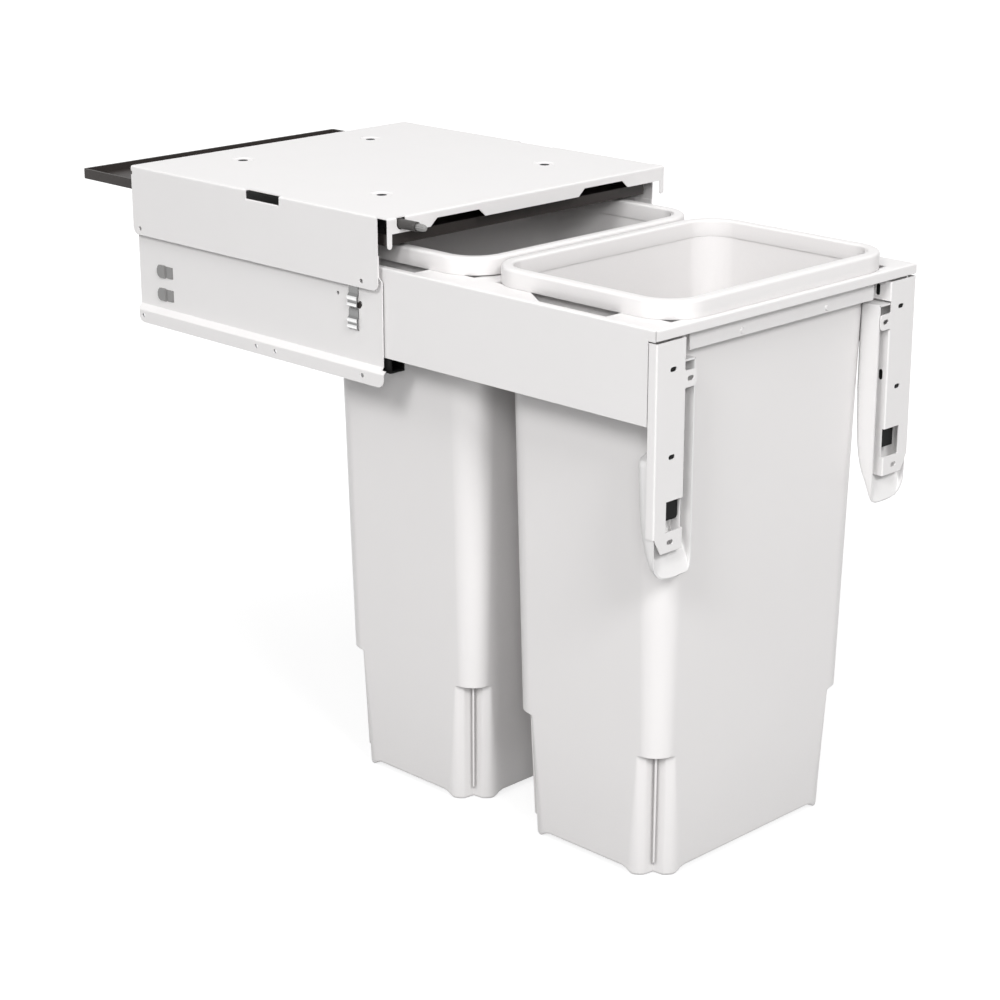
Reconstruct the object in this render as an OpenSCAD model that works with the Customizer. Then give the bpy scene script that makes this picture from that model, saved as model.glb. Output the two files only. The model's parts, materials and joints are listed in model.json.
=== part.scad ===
// Pull-out waste bin unit for a kitchen base cabinet: two tall bins hang in a steel drawer frame,
// which runs on ball-bearing runners under a fixed steel hood with a lid tray.
// X runs to the right, Y to the back and Z up. The origin lies on the hood's top face, at the middle
// of its width, over the front edge of its side flanges. The drawer is drawn part open.

/* [Sheet metal] */
// Thickness of the hood, the side plates and the drawer frame
sheet = 1.2; // [1:0.1:1.5]
// Thickness of the runner brackets and the door brackets
plate = 1.5; // [1.2:0.1:1.7]
// Inside radius of a bend
bend = 1; // [0.5:0.1:1.4]

/* [Hood] */
// Width over the side flanges
hood_w = 414; // [394:1:454]
// Length of the side flanges, front to back
hood_l = 401; // [396:1:440]
// Height of the side flanges
hood_h = 76; // [74:1:80]
// How far the top reaches forward of the side flanges
nose = 16; // [14:0.5:20]
// Height of the front lip
lip_h = 16; // [14:0.5:16.5]
// Depth of the recess pressed round each fixing hole
dish_h = 1; // [0.5:0.1:1.5]

/* [Lid tray] */
// Drop from the hood's top face to the tray's rim
lid_drop = 20.4; // [19:0.1:21]
// Height of the tray
lid_h = 11; // [10:0.5:12]
// Length of the tray, front to back
lid_l = 515; // [500:1:530]
// How much narrower the tray is at the back, on each side
lid_taper = 4.5; // [0:0.5:8]
// Thickness of the tray's floor and rim
lid_wall = 3; // [2:0.5:3.5]

/* [Drawer] */
// How far the drawer stands out of its closed place, as drawn
drawn_open = 319; // [300:1:330]
// How much further the drawer comes out at its stop
spare_travel = 165; // [140:1:170]
// Height of the drawer's side panels
panel_h = 93; // [90:1:100]
// Gap between a side panel and the plate beside it
running_gap = 1.9; // [1.5:0.1:2.2]

/* [Runners] */
// Length of each rail
rail_l = 400; // [380:1:410]
// Height of the cabinet rail
rail_h = 50; // [46:1:54]
// Room that the three nested rails take across
slide_t = 19; // [18.5:0.1:20]
// Diameter of a bearing ball
ball_d = 5; // [4.8:0.1:5.2]
// Balls in each row of a cage
balls = 8; // [4:1:9]

/* [Bins] */
// Length of a bin's rim, front to back
rim_l = 248; // [230:1:260]
// Height of a bin's rim
rim_h = 18; // [16:0.5:20]
// Height of a bin's body below its rim
bin_h = 580; // [560:1:600]
// Draw-in of each side from the rim to the foot
bin_taper = 15.7; // [15:0.1:20]
// Height of the feet under a bin's corners
bin_foot_h = 6; // [3:0.5:7]
// Thickness of a bin's wall
bin_wall = 3; // [2:0.1:4]
// Gap between the two rims
rim_gap = 10; // [8:0.5:20]

/* [Door brackets] */
// Width of a bracket's front plate
bracket_w = 46; // [44:1:50]
// Height of a bracket's front plate
bracket_h = 204; // [200:1:215]
// Width of a bracket's cover
cover_w = 57; // [56:1:60]
// Thickness of a cover's wall
cover_wall = 2; // [1.5:0.1:2.5]

/* [Bumper] */
// Diameter of the bumper's housing
bumper_d = 10; // [9:0.5:10]
// Diameter of the bumper's plunger
plunger_d = 8; // [7:0.1:8.2]
// How far the plunger's tip stands ahead of the front lip
bumper_reach = 36; // [34:1:38]
// How far the closed door presses the plunger in
bumper_press = 6; // [4:0.5:8]

/* [Hidden] */
$fn = 48;

// Overrun of every cut past the face that it starts from
over = 1;
// Gap that parts of one assembly are given where they slip into each other
slip = 0.3;
// Flat steps in the arc of a bend
bend_steps = 5;
left = -1;
right = 1;
full_turn = 360;
half_turn = 180;

// Hood
hood_half = hood_w / 2;
tab_w = 6;
tab_drop = 15;
lip_notch_y = 109;
lip_notch_top_w = 59.5;
lip_notch_foot_w = 78;
lip_notch_h = 8;
hole_r = 5.5;
dish_r = 13.5;
dish_slope = 3.5;
pilot_r = 1.2;
pilot_step = 15;
rear_hole_x = 96;
rear_hole_back = 59;
rear_hole_y = hood_l - rear_hole_back;
front_hole_x = 122;
front_hole_y = 85;
flange_corner_r = 8;
flange_screw_r = 2.5;
flange_screw_up = 7;
flange_screw_front = 24.7;
flange_screw_back = 12;
bend_slot_y = 150;
bend_slot_l = 54;
bend_slot_h = 11;
bend_slot_in = 5;
back_notch_h = 4;
back_notch_drop = 6;
back_notch_in = 2;

// Side plates, which step in beside the drawer and out again at their feet
joggle = 5.9;
joggle_h = 6;
plate_out = hood_half - joggle;
plate_tab_top = -40;
plate_tab_h = 22;
plate_short = 1;
plate_back = hood_l - plate_short;
foot_front = -6;
foot_short = 4;
foot_back = hood_l - foot_short;
foot_over = 1.1;
foot_hole_r = 2.5;
foot_hole_down = 6;
foot_hole_front = 25.7;
foot_hole_mid = 163;
foot_hole_mid_step = 31;
foot_hole_back = 7;
window_back = 56;
window_y = foot_back - window_back;
window_l = 26;
window_h = 13;
window_drop = 54;
window_step = 26;
clip_hole_y = 33;
clip_hole_z = -95;
clip_hole_r = 3;
pin_hole_y = 67;
pin_hole_z = -89;
pin_hole_r = 2;

// Lid tray and the rails that carry it
lid_side_gap = 6.7;
lid_half = plate_out - lid_side_gap;
lid_corner_r = 4;
lid_z = -lid_drop - lid_h;
lid_rail_top = -10;
lid_rail_in = 22;
lid_rail_end = 40;

// Drawer, closed when its front lies against a door that presses the bumper in
drawer_half = plate_out - sheet - running_gap;
panel_in = drawer_half - sheet;
closed_y = bumper_press - nose - bumper_reach;
front_y = closed_y - drawn_open;
lid_clear = 3.6;
drawer_z = lid_z - lid_clear - rim_h;
panel_z = drawer_z - panel_h;
rim_side = 27;
rim_front = 4.7;
rim_back = 14;
rim_half_w = drawer_half - rim_side;
rim_half_l = rim_l / 2;
rim_seat = 6.5;
flange_in = rim_half_w - rim_seat;
front_bin_y = front_y + rim_front + rim_half_l;
rear_bin_y = front_bin_y + rim_l + rim_gap;
drawer_back = rear_bin_y + rim_half_l + rim_back;
bend_out = bend + sheet;
front_lip_h = 10.3;
front_flange_l = 12.7;
front_set_back = 11.2;
panel_front = front_y + front_set_back;
panel_step_h = 11.5;
finger_front = 59;
finger_back = 27;
finger_slant = 40;
finger_edge = 7;
stiffener_half = drawer_half - cover_w - slip;
stiffener_y = front_y + front_set_back;
stiffener_h = 28.8;
rivet_x = 65;
rivet_up = 5;
rivet_r = 2.5;
rivet_head_r = 3.6;
rivet_head_h = 1.4;
rivet_tail_h = 1.2;
crossbar_w = 30;
crossbar_h = 21;
rear_flange_l = 23;
rear_crossbar_h = 32;

// Runner: bracket under the panel, then cabinet rail, middle rail and drawer rail nested in each other
upright_x = panel_in - slide_t;
slide_drop = 64;
slide_z = drawer_z - slide_drop;
web_gap = 15.5;
web_z = panel_z - web_gap;
leg_h = 13;
foot_z = web_z - leg_h - foot_over;
upright_over = 2;
rail_y = -4;
rail_web = 1.5;
race_t = 2;
middle_race_t = 2.5;
race_depth = 0.5;
ball_gap = ball_d - 2 * race_depth;
ball_slip = 0.15;
cabinet_flange_short = 5;
cabinet_flange_w = slide_t - cabinet_flange_short;
middle_in = 3.2;
middle_flange_short = 6.2;
middle_flange_w = slide_t - middle_flange_short;
drawer_flange_short = 7;
drawer_flange_w = slide_t - drawer_flange_short;
cabinet_half_h = rail_h / 2;
middle_half_h = cabinet_half_h - race_t - ball_gap;
drawer_half_h = middle_half_h - middle_race_t - ball_gap;
outer_ball_u = 9;
outer_ball_w = cabinet_half_h - race_t - ball_gap / 2;
inner_ball_u = 11.5;
inner_ball_w = drawer_half_h + ball_gap / 2;
cage_t = 0.8;
outer_cage_u = 2;
inner_cage_u = 5.2;
cage_lip = 3.2;
cage_end = 4;
travel = drawn_open + spare_travel;
cage_l = rail_l - travel / 2 - 2 * cage_end;
outer_cage_y = rail_y + cage_end + spare_travel / 4;
inner_cage_y = rail_y + cage_end - travel / 2 + spare_travel * 3 / 4;
end_cap_front = 8;
end_cap_l = 26;
end_cap_wall = 2;
end_cap_drop = 1.5;

// Clips on the side plates
clip_y = 35;
clip_w = 17;
clip_slit = 1;
clip_t = 0.6;
clip_top = -78;
clip_h = 45;
clip_bulge = 4;
// Height down the spring clip and bulge out of the plate, as shares of clip_h and clip_bulge
clip_share = [
    [0, 0], [0.16, 0], [0.267, 1], [0.35, 0.25], [0.444, 1], [0.54, 0],
    [0.72, 0], [0.82, 1], [0.9, 0.25], [0.98, 1], [1, 0.6],
];
guide_border = 5;
guide_out = 1.5;
guide_ridge = 1;

// Door brackets and their covers
bracket_drop = 13;
bracket_z = drawer_z - bracket_drop;
bracket_foot_z = bracket_z - bracket_h;
bracket_in = drawer_half - bracket_w;
bracket_leg_l = 9.9;
bracket_leg_h = 188;
tongue_l = 30;
tongue_top = 5;
tongue_h = 68;
leg_step_y = 4;
plate_step = 6;
plate_step_up = 49;
chamfer_w = 9;
chamfer_h = 16;
slot_x = 22;
slot_r = 2.5;
slot_l = 8;
slot_drop = 27;
slot_step = 84;
ear_w = 11;
ear_h = 20;
ear_drop = 32;
ear_slot_x = 48;
ear_slot_drop = 40;
bracket_window_x = 39;
bracket_window_w = 25;
bracket_window_h = 33;
bracket_window_up = 17;
return_l = 21;
return_h = 20;
return_slot_y = 12;
return_slot_drop = 10;
return_slot_h = 13;
cover_top_drop = 22;
cover_side_drop = 109;
cover_in_step = 3.2;
cover_front_gap = 0.3;
cover_h = 215;
cover_l = 18;
cover_foot_l = 26.5;
cover_keel_h = 48;
cover_round_h = 21;
cover_rib_t = 2;
cover_rib_l = 12;
// Rounding of a cover's foot: distance in from its outer edge as a share of cover_w, and height as
// a share of cover_round_h
cover_foot_share = [[0, 2], [0.083, 1], [0.25, 0.25], [0.5, 0], [0.875, 0.25]];
cover_foot_in_share = 0.75;
// Heights of the ribs down the cover, as shares of cover_h
cover_rib_share = [0.307, 0.558, 0.772];
block_out = 0.9;
block_l = 11;
block_border = 2.5;
block_short = 11;
block_foot = 2;

// Bumper
bumper_in = 18.5;
bumper_x = hood_half - bumper_in;
bumper_z = -6.8;
housing_reach = 22;
bumper_front = nose + housing_reach;
bumper_back = 35;
plunger_tail = 18;
plunger_room = 10;
bumper_slip = 0.2;
holder_w = 15;
holder_l = 28;
holder_y = 2;

// Bins: straight tapered walls, and corners that step in towards the foot between two round posts
body_in_w = 10.1;
body_in_front = 14.9;
body_in_back = 10.3;
corner_top_r = 36.5;
corner_step_r = 23.7;
notch_h = 124;
notch = 28;
notch_spread = 8;
notch_depth = 15.6;
// Height down the step over a notch and how much of it is done there, as shares
step_share = [[0.2, 0.08], [0.45, 0.45], [0.7, 0.85], [1, 1]];
step_h = 12;
pad_depth = 12;
pad_h = 6;
pad_slope = 3;
foot_in = 1;
foot_w = 9;
foot_from = 22;
foot_to = 38;
foot_r = 4;
fin_t = 2;
fin_sink = 1;
fin_proud = 3.5;
fin_top = 11;
fin_end = 5;
floor_t = 4;
skirt_t = 2.4;
rim_round = 2;
rim_corner_r = 45;
rim_band = 12.5;
ledge_w = 2;
inner_notch_r = 51;
inner_fade = 7;
// Half of a notched corner: depth behind the wall and distance back from the middle of the notch, as shares
notch_in_share = [0, 0.032, 0.141, 0.308, 0.468, 0.641, 0.833, 1];
notch_back_share = [1, 0.863, 0.71, 0.5, 0.323, 0.226, 0.153, 0];

// Plain shapes
module block(low, high) {
    translate(low) cube(high - low);
}

module along_x(from, to) {
    translate([from, 0, 0]) rotate([90, 0, 90]) linear_extrude(to - from) children();
}

module along_y(from, to) {
    translate([0, to, 0]) rotate([90, 0, 0]) linear_extrude(to - from) children();
}

module along_z(from, to) {
    translate([0, 0, from]) linear_extrude(to - from) children();
}

// What is drawn for the right side, set on the side that is asked for
module on_side(side) {
    mirror([side == left ? 1 : 0, 0, 0]) children();
}

module area(low, high) {
    translate(low) square(high - low);
}

// What a fillet of radius r takes off a corner at p, whose material lies towards the signs in to
module corner_off(p, to, r) {
    translate(p) mirror([to.x < 0 ? 1 : 0, 0]) mirror([0, to.y < 0 ? 1 : 0]) difference() {
        translate([-over, -over]) square(r + over);
        translate([r, r]) circle(r);
    }
}

module rounded_area(low, high, r) {
    union() {
        area(low + [r, 0], high - [r, 0]);
        area(low + [0, r], high - [0, r]);
        for (x = [low.x + r, high.x - r]) for (y = [low.y + r, high.y - r]) translate([x, y]) circle(r);
    }
}

module upright_slot(centre, length, r) {
    for (s = [-1, 1]) translate(centre + [0, s * (length / 2 - r)]) circle(r);
    area(centre - [r, length / 2 - r], centre + [r, length / 2 - r]);
}

module level_slot(centre, length, r) {
    for (s = [-1, 1]) translate(centre + [s * (length / 2 - r), 0]) circle(r);
    area(centre - [length / 2 - r, r], centre + [length / 2 - r, r]);
}

// Outline of bent sheet: the path is one face, and the thickness lies to the left of its direction
function unit(v) = v / norm(v);
function left_of(v) = [-v.y, v.x];
function turn_of(a, b, c) = (b - a).x * (c - b).y - (b - a).y * (c - b).x;
function arc_at(a, b, c, r) =
    let (
        u = unit(a - b),
        v = unit(c - b),
        half = acos(u * v) / 2,
        centre = b + unit(u + v) * r / sin(half),
        first = b + u * r / tan(half) - centre,
        last = b + v * r / tan(half) - centre,
        from = atan2(first.y, first.x),
        sweep = (atan2(last.y, last.x) - from + half_turn + full_turn) % full_turn - half_turn
    )
    [for (i = [0:bend_steps]) let (a = from + sweep * i / bend_steps) centre + r * [cos(a), sin(a)]];
function rounded_path(p, r_left, r_right) = [
    p[0],
    for (i = [1:1:len(p) - 2])
        each arc_at(p[i - 1], p[i], p[i + 1], turn_of(p[i - 1], p[i], p[i + 1]) > 0 ? r_left : r_right),
    p[len(p) - 1],
];
function rounded_loop(p, r) = [
    for (i = [0:len(p) - 1]) each arc_at(p[i], p[(i + 1) % len(p)], p[(i + 2) % len(p)], r)
];
function shifted_path(p, t) = [
    for (i = [0:len(p) - 1])
        let (
            a = left_of(unit(i == 0 ? p[1] - p[0] : p[i] - p[i - 1])),
            b = left_of(unit(i == len(p) - 1 ? p[i] - p[i - 1] : p[i + 1] - p[i]))
        )
        p[i] + (a + b) * t / (1 + a * b)
];
function reversed(p) = [for (i = [len(p) - 1:-1:0]) p[i]];
module bent(path, t, r = bend) {
    polygon(concat(
        rounded_path(path, r + t, r),
        reversed(rounded_path(shifted_path(path, t), r, r + t))
    ));
}

// Hood
module dish_cut(p) {
    translate([p.x, p.y, -sheet - over]) cylinder(h = sheet + 2 * over, r = dish_r - sheet);
}

module dish(p) {
    translate([p.x, p.y, 0]) rotate_extrude() polygon([
        [hole_r, -dish_h - sheet],
        [dish_r - dish_slope, -dish_h - sheet],
        [dish_r, -sheet],
        [dish_r, 0],
        [dish_r - sheet, 0],
        [dish_r - dish_slope, -dish_h],
        [hole_r, -dish_h],
    ]);
}

function hole_places() = [
    for (s = [left, right]) each [[s * rear_hole_x, rear_hole_y], [s * front_hole_x, front_hole_y]]
];

module hood_shell() {
    along_y(0, hood_l) bent([
        [hood_half, -hood_h], [hood_half, 0], [-hood_half, 0], [-hood_half, -hood_h],
    ], sheet);
    along_x(-hood_half, hood_half) bent([[0, 0], [-nose, 0], [-nose, -lip_h]], sheet);
    block([bend_out - hood_half, -bend_out, -sheet], [hood_half - bend_out, bend_out, 0]);
    for (side = [left, right]) on_side(side) along_y(-nose, sheet - nose) {
        area([hood_half - tab_w, tab_w / 2 - lip_h - tab_drop], [hood_half, -lip_h / 2]);
        translate([hood_half - tab_w / 2, tab_w / 2 - lip_h - tab_drop]) circle(tab_w / 2);
    }
}

module lip_notches() {
    for (s = [left, right]) translate([s * lip_notch_y, 0]) polygon([
        [-lip_notch_foot_w / 2, -lip_h - over],
        [-lip_notch_foot_w / 2, -lip_h],
        [-lip_notch_top_w / 2, lip_notch_h - lip_h],
        [lip_notch_top_w / 2, lip_notch_h - lip_h],
        [lip_notch_foot_w / 2, -lip_h],
        [lip_notch_foot_w / 2, -lip_h - over],
    ]);
}

module bumper_opening() {
    r = bumper_d / 2 + over;
    translate([-bumper_x, bumper_z]) circle(r);
    area([-bumper_x - r, bumper_z], [r - bumper_x, over]);
}

module flange_cuts() {
    corner_off([0, -hood_h], [1, 1], flange_corner_r);
    corner_off([hood_l, -hood_h], [-1, 1], flange_corner_r);
    for (y = [flange_screw_front, hood_l - flange_screw_back])
        translate([y, flange_screw_up - hood_h]) circle(flange_screw_r);
    area([hood_l - back_notch_in, -back_notch_drop - back_notch_h], [hood_l + over, -back_notch_drop]);
}

module hood() {
    color("white") union() {
        difference() {
            hood_shell();
            along_y(-nose - over, bend_out - nose + over) lip_notches();
            along_y(-nose - over, bend_out - nose) bumper_opening();
            along_x(-hood_half - over, hood_half + over) flange_cuts();
            for (s = [left, right]) on_side(s) block(
                [hood_half - bend_slot_in, bend_slot_y, -bend_slot_h],
                [hood_half + over, bend_slot_y + bend_slot_l, over]
            );
            for (p = hole_places()) {
                dish_cut(p);
                for (s = [-1, 1]) translate([p.x, p.y + s * pilot_step, -sheet - over])
                    cylinder(h = sheet + 2 * over, r = pilot_r);
            }
        }
        for (p = hole_places()) dish(p);
    }
}

// Side plates
module side_plate(side) {
    inner = hood_half - sheet;
    color("white") on_side(side) difference() {
        along_y(foot_front, plate_back) bent([
            [hood_half, foot_z],
            [hood_half, web_z],
            [plate_out, web_z + joggle_h],
            [plate_out, plate_tab_top - plate_tab_h - joggle_h],
            [inner, plate_tab_top - plate_tab_h],
            [inner, plate_tab_top],
        ], sheet);
        block([upright_x, foot_front - over, web_z + joggle_h / 2], [hood_half + over, 0, 0]);
        block([upright_x, foot_back, foot_z - over], [hood_half + over, plate_back + over, web_z]);
        along_x(upright_x, hood_half + over) {
            corner_off([foot_front, foot_z], [1, 1], flange_corner_r);
            corner_off([foot_back, foot_z], [-1, 1], flange_corner_r);
            for (y = foot_hole_places()) translate([y, web_z - foot_hole_down]) circle(foot_hole_r);
            for (i = [0, 1]) area(window_low(i), window_low(i) + [window_l, window_h]);
            translate([clip_hole_y, clip_hole_z]) circle(clip_hole_r);
            translate([pin_hole_y, pin_hole_z]) circle(pin_hole_r);
        }
    }
}

function foot_hole_places() = [
    foot_hole_front, foot_hole_mid, foot_hole_mid + foot_hole_mid_step, foot_back - foot_hole_back,
];
function window_low(i) = [window_y, drawer_z - window_drop - window_h - i * window_step];

module spring_clip(side) {
    leaf_w = (clip_w - clip_slit) / 2;
    path = [for (p = clip_share) [plate_out + p[1] * clip_bulge, clip_top - p[0] * clip_h]];
    color("silver") on_side(side) {
        for (y = [clip_y, clip_y + leaf_w + clip_slit]) along_y(y, y + leaf_w)
            polygon(concat(path, reversed([for (p = path) p + [clip_t, 0]])));
        along_y(clip_y, clip_y + clip_w)
            area([plate_out, clip_top - clip_share[1][0] * clip_h], [plate_out + clip_t, clip_top]);
    }
}

module guide_clip(side) {
    inner = plate_out - sheet;
    low = window_low(1);
    high = window_low(0) + [window_l, window_h];
    color("silver") on_side(side) {
        along_x(inner - sheet, inner)
            area(low - [guide_border, guide_border], high + [guide_border, guide_border]);
        for (i = [0, 1]) along_z(window_low(i).y + slip, window_low(i).y + window_h - slip) polygon([
            [inner - sheet, window_y + slip],
            [inner - sheet, window_y + window_l - slip],
            [plate_out + guide_out, window_y + window_l - slip],
            [plate_out + guide_out + guide_ridge, window_y + window_l / 2],
            [plate_out + guide_out, window_y + slip],
        ]);
    }
}

// Lid tray, which stays under the hood and closes the bins when the drawer is in
module lid_area(inset) {
    front = lid_half - inset;
    back = front - lid_taper;
    polygon(rounded_loop([
        [-front, inset],
        [front, inset],
        [back, lid_l - inset],
        [-back, lid_l - inset],
    ], lid_corner_r - inset));
}

module lid_tray() {
    color("dimgray") difference() {
        along_z(lid_z, -lid_drop) lid_area(0);
        along_z(lid_z + lid_wall, over - lid_drop) lid_area(lid_wall);
    }
}

module lid_rail(side) {
    outer = hood_half - sheet;
    color("white") on_side(side) along_y(lid_rail_end, hood_l - lid_rail_end) bent([
        [outer - lid_rail_in, lid_z - sheet],
        [outer, lid_z - sheet],
        [outer, lid_rail_top],
    ], sheet);
}

// Runner brackets, from the side plate's foot under the drawer panel and up on its inside
module runner_bracket(side) {
    outer = hood_half - sheet;
    color("gainsboro") on_side(side) difference() {
        along_y(0, foot_back) bent([
            [outer, web_z - leg_h],
            [outer, web_z],
            [upright_x, web_z],
            [upright_x, slide_z + cabinet_half_h + upright_over],
        ], plate);
        along_x(outer - 2 * plate, outer + over)
            for (y = foot_hole_places()) translate([y, web_z - foot_hole_down]) circle(foot_hole_r);
    }
}

module end_cap(side) {
    inner = upright_x + bend;
    outer = panel_in + sheet;
    top = panel_z - end_cap_drop;
    color("black") on_side(side) along_y(-end_cap_front, end_cap_l - end_cap_front) union() {
        area([inner, web_z], [outer, web_z + end_cap_wall]);
        area([inner, web_z], [inner + end_cap_wall, top]);
        area([outer - end_cap_wall, web_z], [outer, top]);
    }
}

// Rails: u runs out from the bracket's upright and w up from the middle of the runner
module rail_place(side, y, length) {
    on_side(side) translate([upright_x, 0, slide_z]) along_y(y, y + length) children();
}

module channel(from, to, web_at, half_h, flange_t) {
    difference() {
        area([from, -half_h], [to, half_h]);
        area(
            [web_at > from ? from - over : from + rail_web, flange_t - half_h],
            [web_at > from ? to - rail_web : to + over, half_h - flange_t]
        );
    }
}

module race(u, w) {
    for (s = [-1, 1]) translate([u, s * w]) circle(ball_d / 2 + ball_slip);
}

module cabinet_rail(side) {
    color("silver") rail_place(side, rail_y, rail_l) difference() {
        channel(0, cabinet_flange_w, 0, cabinet_half_h, race_t);
        race(outer_ball_u, outer_ball_w);
    }
}

module middle_rail(side) {
    color("silver") rail_place(side, rail_y - drawn_open / 2, rail_l) difference() {
        channel(middle_in, middle_in + middle_flange_w, middle_in, middle_half_h, middle_race_t);
        race(outer_ball_u, outer_ball_w);
        race(inner_ball_u, inner_ball_w);
    }
}

module drawer_rail(side) {
    color("silver") rail_place(side, rail_y - drawn_open, rail_l) difference() {
        channel(slide_t - drawer_flange_w, slide_t, slide_t, drawer_half_h, race_t);
        race(inner_ball_u, inner_ball_w);
    }
}

// Ball cages: a strip folded round the back of the rails, with a hole for each ball
function ball_step() = (cage_l - 2 * cage_end) / balls;
function ball_y(i) = cage_end + ball_step() * (i + 1 / 2);

module cage(side, y, u, ball_u, ball_w) {
    color("gold") difference() {
        rail_place(side, y, cage_l) {
            area([u, -ball_w], [u + cage_t, ball_w]);
            for (s = [-1, 1]) translate([0, s * ball_w])
                area([u, -cage_t / 2], [ball_u + cage_lip, cage_t / 2]);
        }
        on_side(side) for (i = [0:balls - 1]) for (s = [-1, 1])
            translate([upright_x + ball_u, y + ball_y(i), slide_z + s * ball_w - cage_t])
                cylinder(h = 2 * cage_t, r = ball_d / 2 + ball_slip);
    }
}

module cage_balls(side, y, ball_u, ball_w) {
    color("silver") on_side(side) for (i = [0:balls - 1]) for (s = [-1, 1])
        translate([upright_x + ball_u, y + ball_y(i), slide_z + s * ball_w]) sphere(r = ball_d / 2);
}

// Drawer frame
module finger_hole(y) {
    polygon([
        [flange_in - over, y - finger_front],
        [drawer_half - finger_edge, y - finger_front],
        [drawer_half - finger_edge, y + finger_back],
        [flange_in, y + finger_back + finger_slant],
        [flange_in - over, y + finger_back + finger_slant],
    ]);
}

module drawer_side(side) {
    color("white") on_side(side) difference() {
        along_y(front_y + bend_out, drawer_back) bent([
            [drawer_half, panel_z], [drawer_half, drawer_z], [flange_in, drawer_z],
        ], sheet);
        block(
            [upright_x, front_y, panel_z - over],
            [drawer_half + over, panel_front, drawer_z - panel_step_h]
        );
        along_z(drawer_z - 2 * sheet, drawer_z + over) {
            finger_hole(front_bin_y);
            finger_hole(rear_bin_y);
        }
    }
}

module front_rail() {
    color("white") difference() {
        along_x(-drawer_half, drawer_half) bent([
            [front_y + front_flange_l, drawer_z], [front_y, drawer_z], [front_y, drawer_z - front_lip_h],
        ], sheet);
        for (side = [left, right]) on_side(side) block(
            [flange_in, front_y + bend_out, drawer_z - bend_out],
            [drawer_half + over, front_y + front_flange_l + over, drawer_z + over]
        );
    }
}

module front_stiffener() {
    top = drawer_z - sheet;
    color("white") difference() {
        along_x(-stiffener_half, stiffener_half) bent([
            [stiffener_y, top - stiffener_h], [stiffener_y, top], [front_y + bend_out + slip, top],
        ], sheet);
        for (s = [left, right]) rivet_axis(s)
            cylinder(h = sheet + 2 * over, r = rivet_r, center = true);
    }
}

module rivet_axis(s) {
    translate([s * rivet_x, stiffener_y - sheet / 2, drawer_z - sheet - stiffener_h + rivet_up])
        rotate([90, 0, 0]) children();
}

module stiffener_rivets() {
    color("gainsboro") for (s = [left, right]) rivet_axis(s) {
        cylinder(h = sheet + rivet_tail_h, r = rivet_r, center = true);
        translate([0, 0, sheet / 2]) cylinder(h = rivet_head_h, r1 = rivet_head_r, r2 = rivet_r);
        translate([0, 0, -sheet / 2 - rivet_tail_h]) cylinder(h = rivet_tail_h, r = rivet_head_r);
    }
}

module middle_crossbar() {
    y = (front_bin_y + rear_bin_y + body_in_front - body_in_back) / 2;
    top = drawer_z - sheet;
    color("white") along_x(bend - panel_in, panel_in - bend) bent([
        [y + crossbar_w / 2, top - crossbar_h],
        [y + crossbar_w / 2, top],
        [y - crossbar_w / 2, top],
        [y - crossbar_w / 2, top - crossbar_h],
    ], sheet);
}

module rear_crossbar() {
    top = drawer_z - sheet;
    color("white") along_x(bend - panel_in, panel_in - bend) bent([
        [drawer_back, top - rear_crossbar_h], [drawer_back, top], [drawer_back - rear_flange_l, top],
    ], sheet);
}

// Door brackets
module bracket_front() {
    difference() {
        union() {
            polygon([
                [bracket_in, bracket_z],
                [drawer_half, bracket_z],
                [drawer_half, bracket_foot_z + chamfer_h],
                [drawer_half - chamfer_w, bracket_foot_z],
                [bracket_in + plate_step, bracket_foot_z],
                [bracket_in + plate_step, bracket_foot_z + plate_step_up],
                [bracket_in, bracket_foot_z + plate_step_up],
            ]);
            area(
                [bracket_in, bracket_z - ear_drop - ear_h],
                [bracket_in + ear_w, bracket_z - ear_drop]
            );
            area(
                [bracket_in - ear_w + ear_h / 4, bracket_z - ear_drop - ear_h],
                [bracket_in, bracket_z - ear_drop]
            );
            area(
                [bracket_in - ear_w, bracket_z - ear_drop - ear_h * 3 / 4],
                [bracket_in, bracket_z - ear_drop - ear_h / 4]
            );
            for (z = [ear_h / 4, ear_h * 3 / 4])
                translate([bracket_in - ear_w + ear_h / 4, bracket_z - ear_drop - z]) circle(ear_h / 4);
        }
        for (i = [0:2])
            level_slot([drawer_half - slot_x, bracket_z - slot_drop - i * slot_step], slot_l, slot_r);
        level_slot([drawer_half - ear_slot_x, bracket_z - ear_slot_drop], slot_l, slot_r);
        area(block_low(), block_high());
    }
}

module bracket_leg() {
    inner = panel_in - slip;
    difference() {
        along_z(bracket_z - bracket_leg_h, bracket_z) polygon([
            [drawer_half, front_y],
            [drawer_half, front_y + bracket_leg_l - leg_step_y],
            [inner, front_y + bracket_leg_l],
            [inner, front_y + bracket_leg_l + tongue_l],
            [inner - plate, front_y + bracket_leg_l + tongue_l],
            [inner - plate, front_y],
        ]);
        for (z = [
            [bracket_z - tongue_top, bracket_z + over],
            [bracket_z - bracket_leg_h - over, bracket_z - tongue_top - tongue_h],
        ]) block(
            [inner - plate - over, front_y + bracket_leg_l, z[0]],
            [drawer_half + over, front_y + bracket_leg_l + tongue_l + over, z[1]]
        );
    }
}

module bracket_return() {
    along_x(bracket_in, bracket_in + plate) difference() {
        area([front_y, bracket_z - return_h], [front_y + return_l, bracket_z]);
        upright_slot([front_y + return_slot_y, bracket_z - return_slot_drop], return_slot_h, slot_r);
    }
}

module door_bracket(side) {
    color("white") on_side(side) union() {
        along_y(front_y, front_y + plate) bracket_front();
        bracket_leg();
        bracket_return();
    }
}

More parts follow.
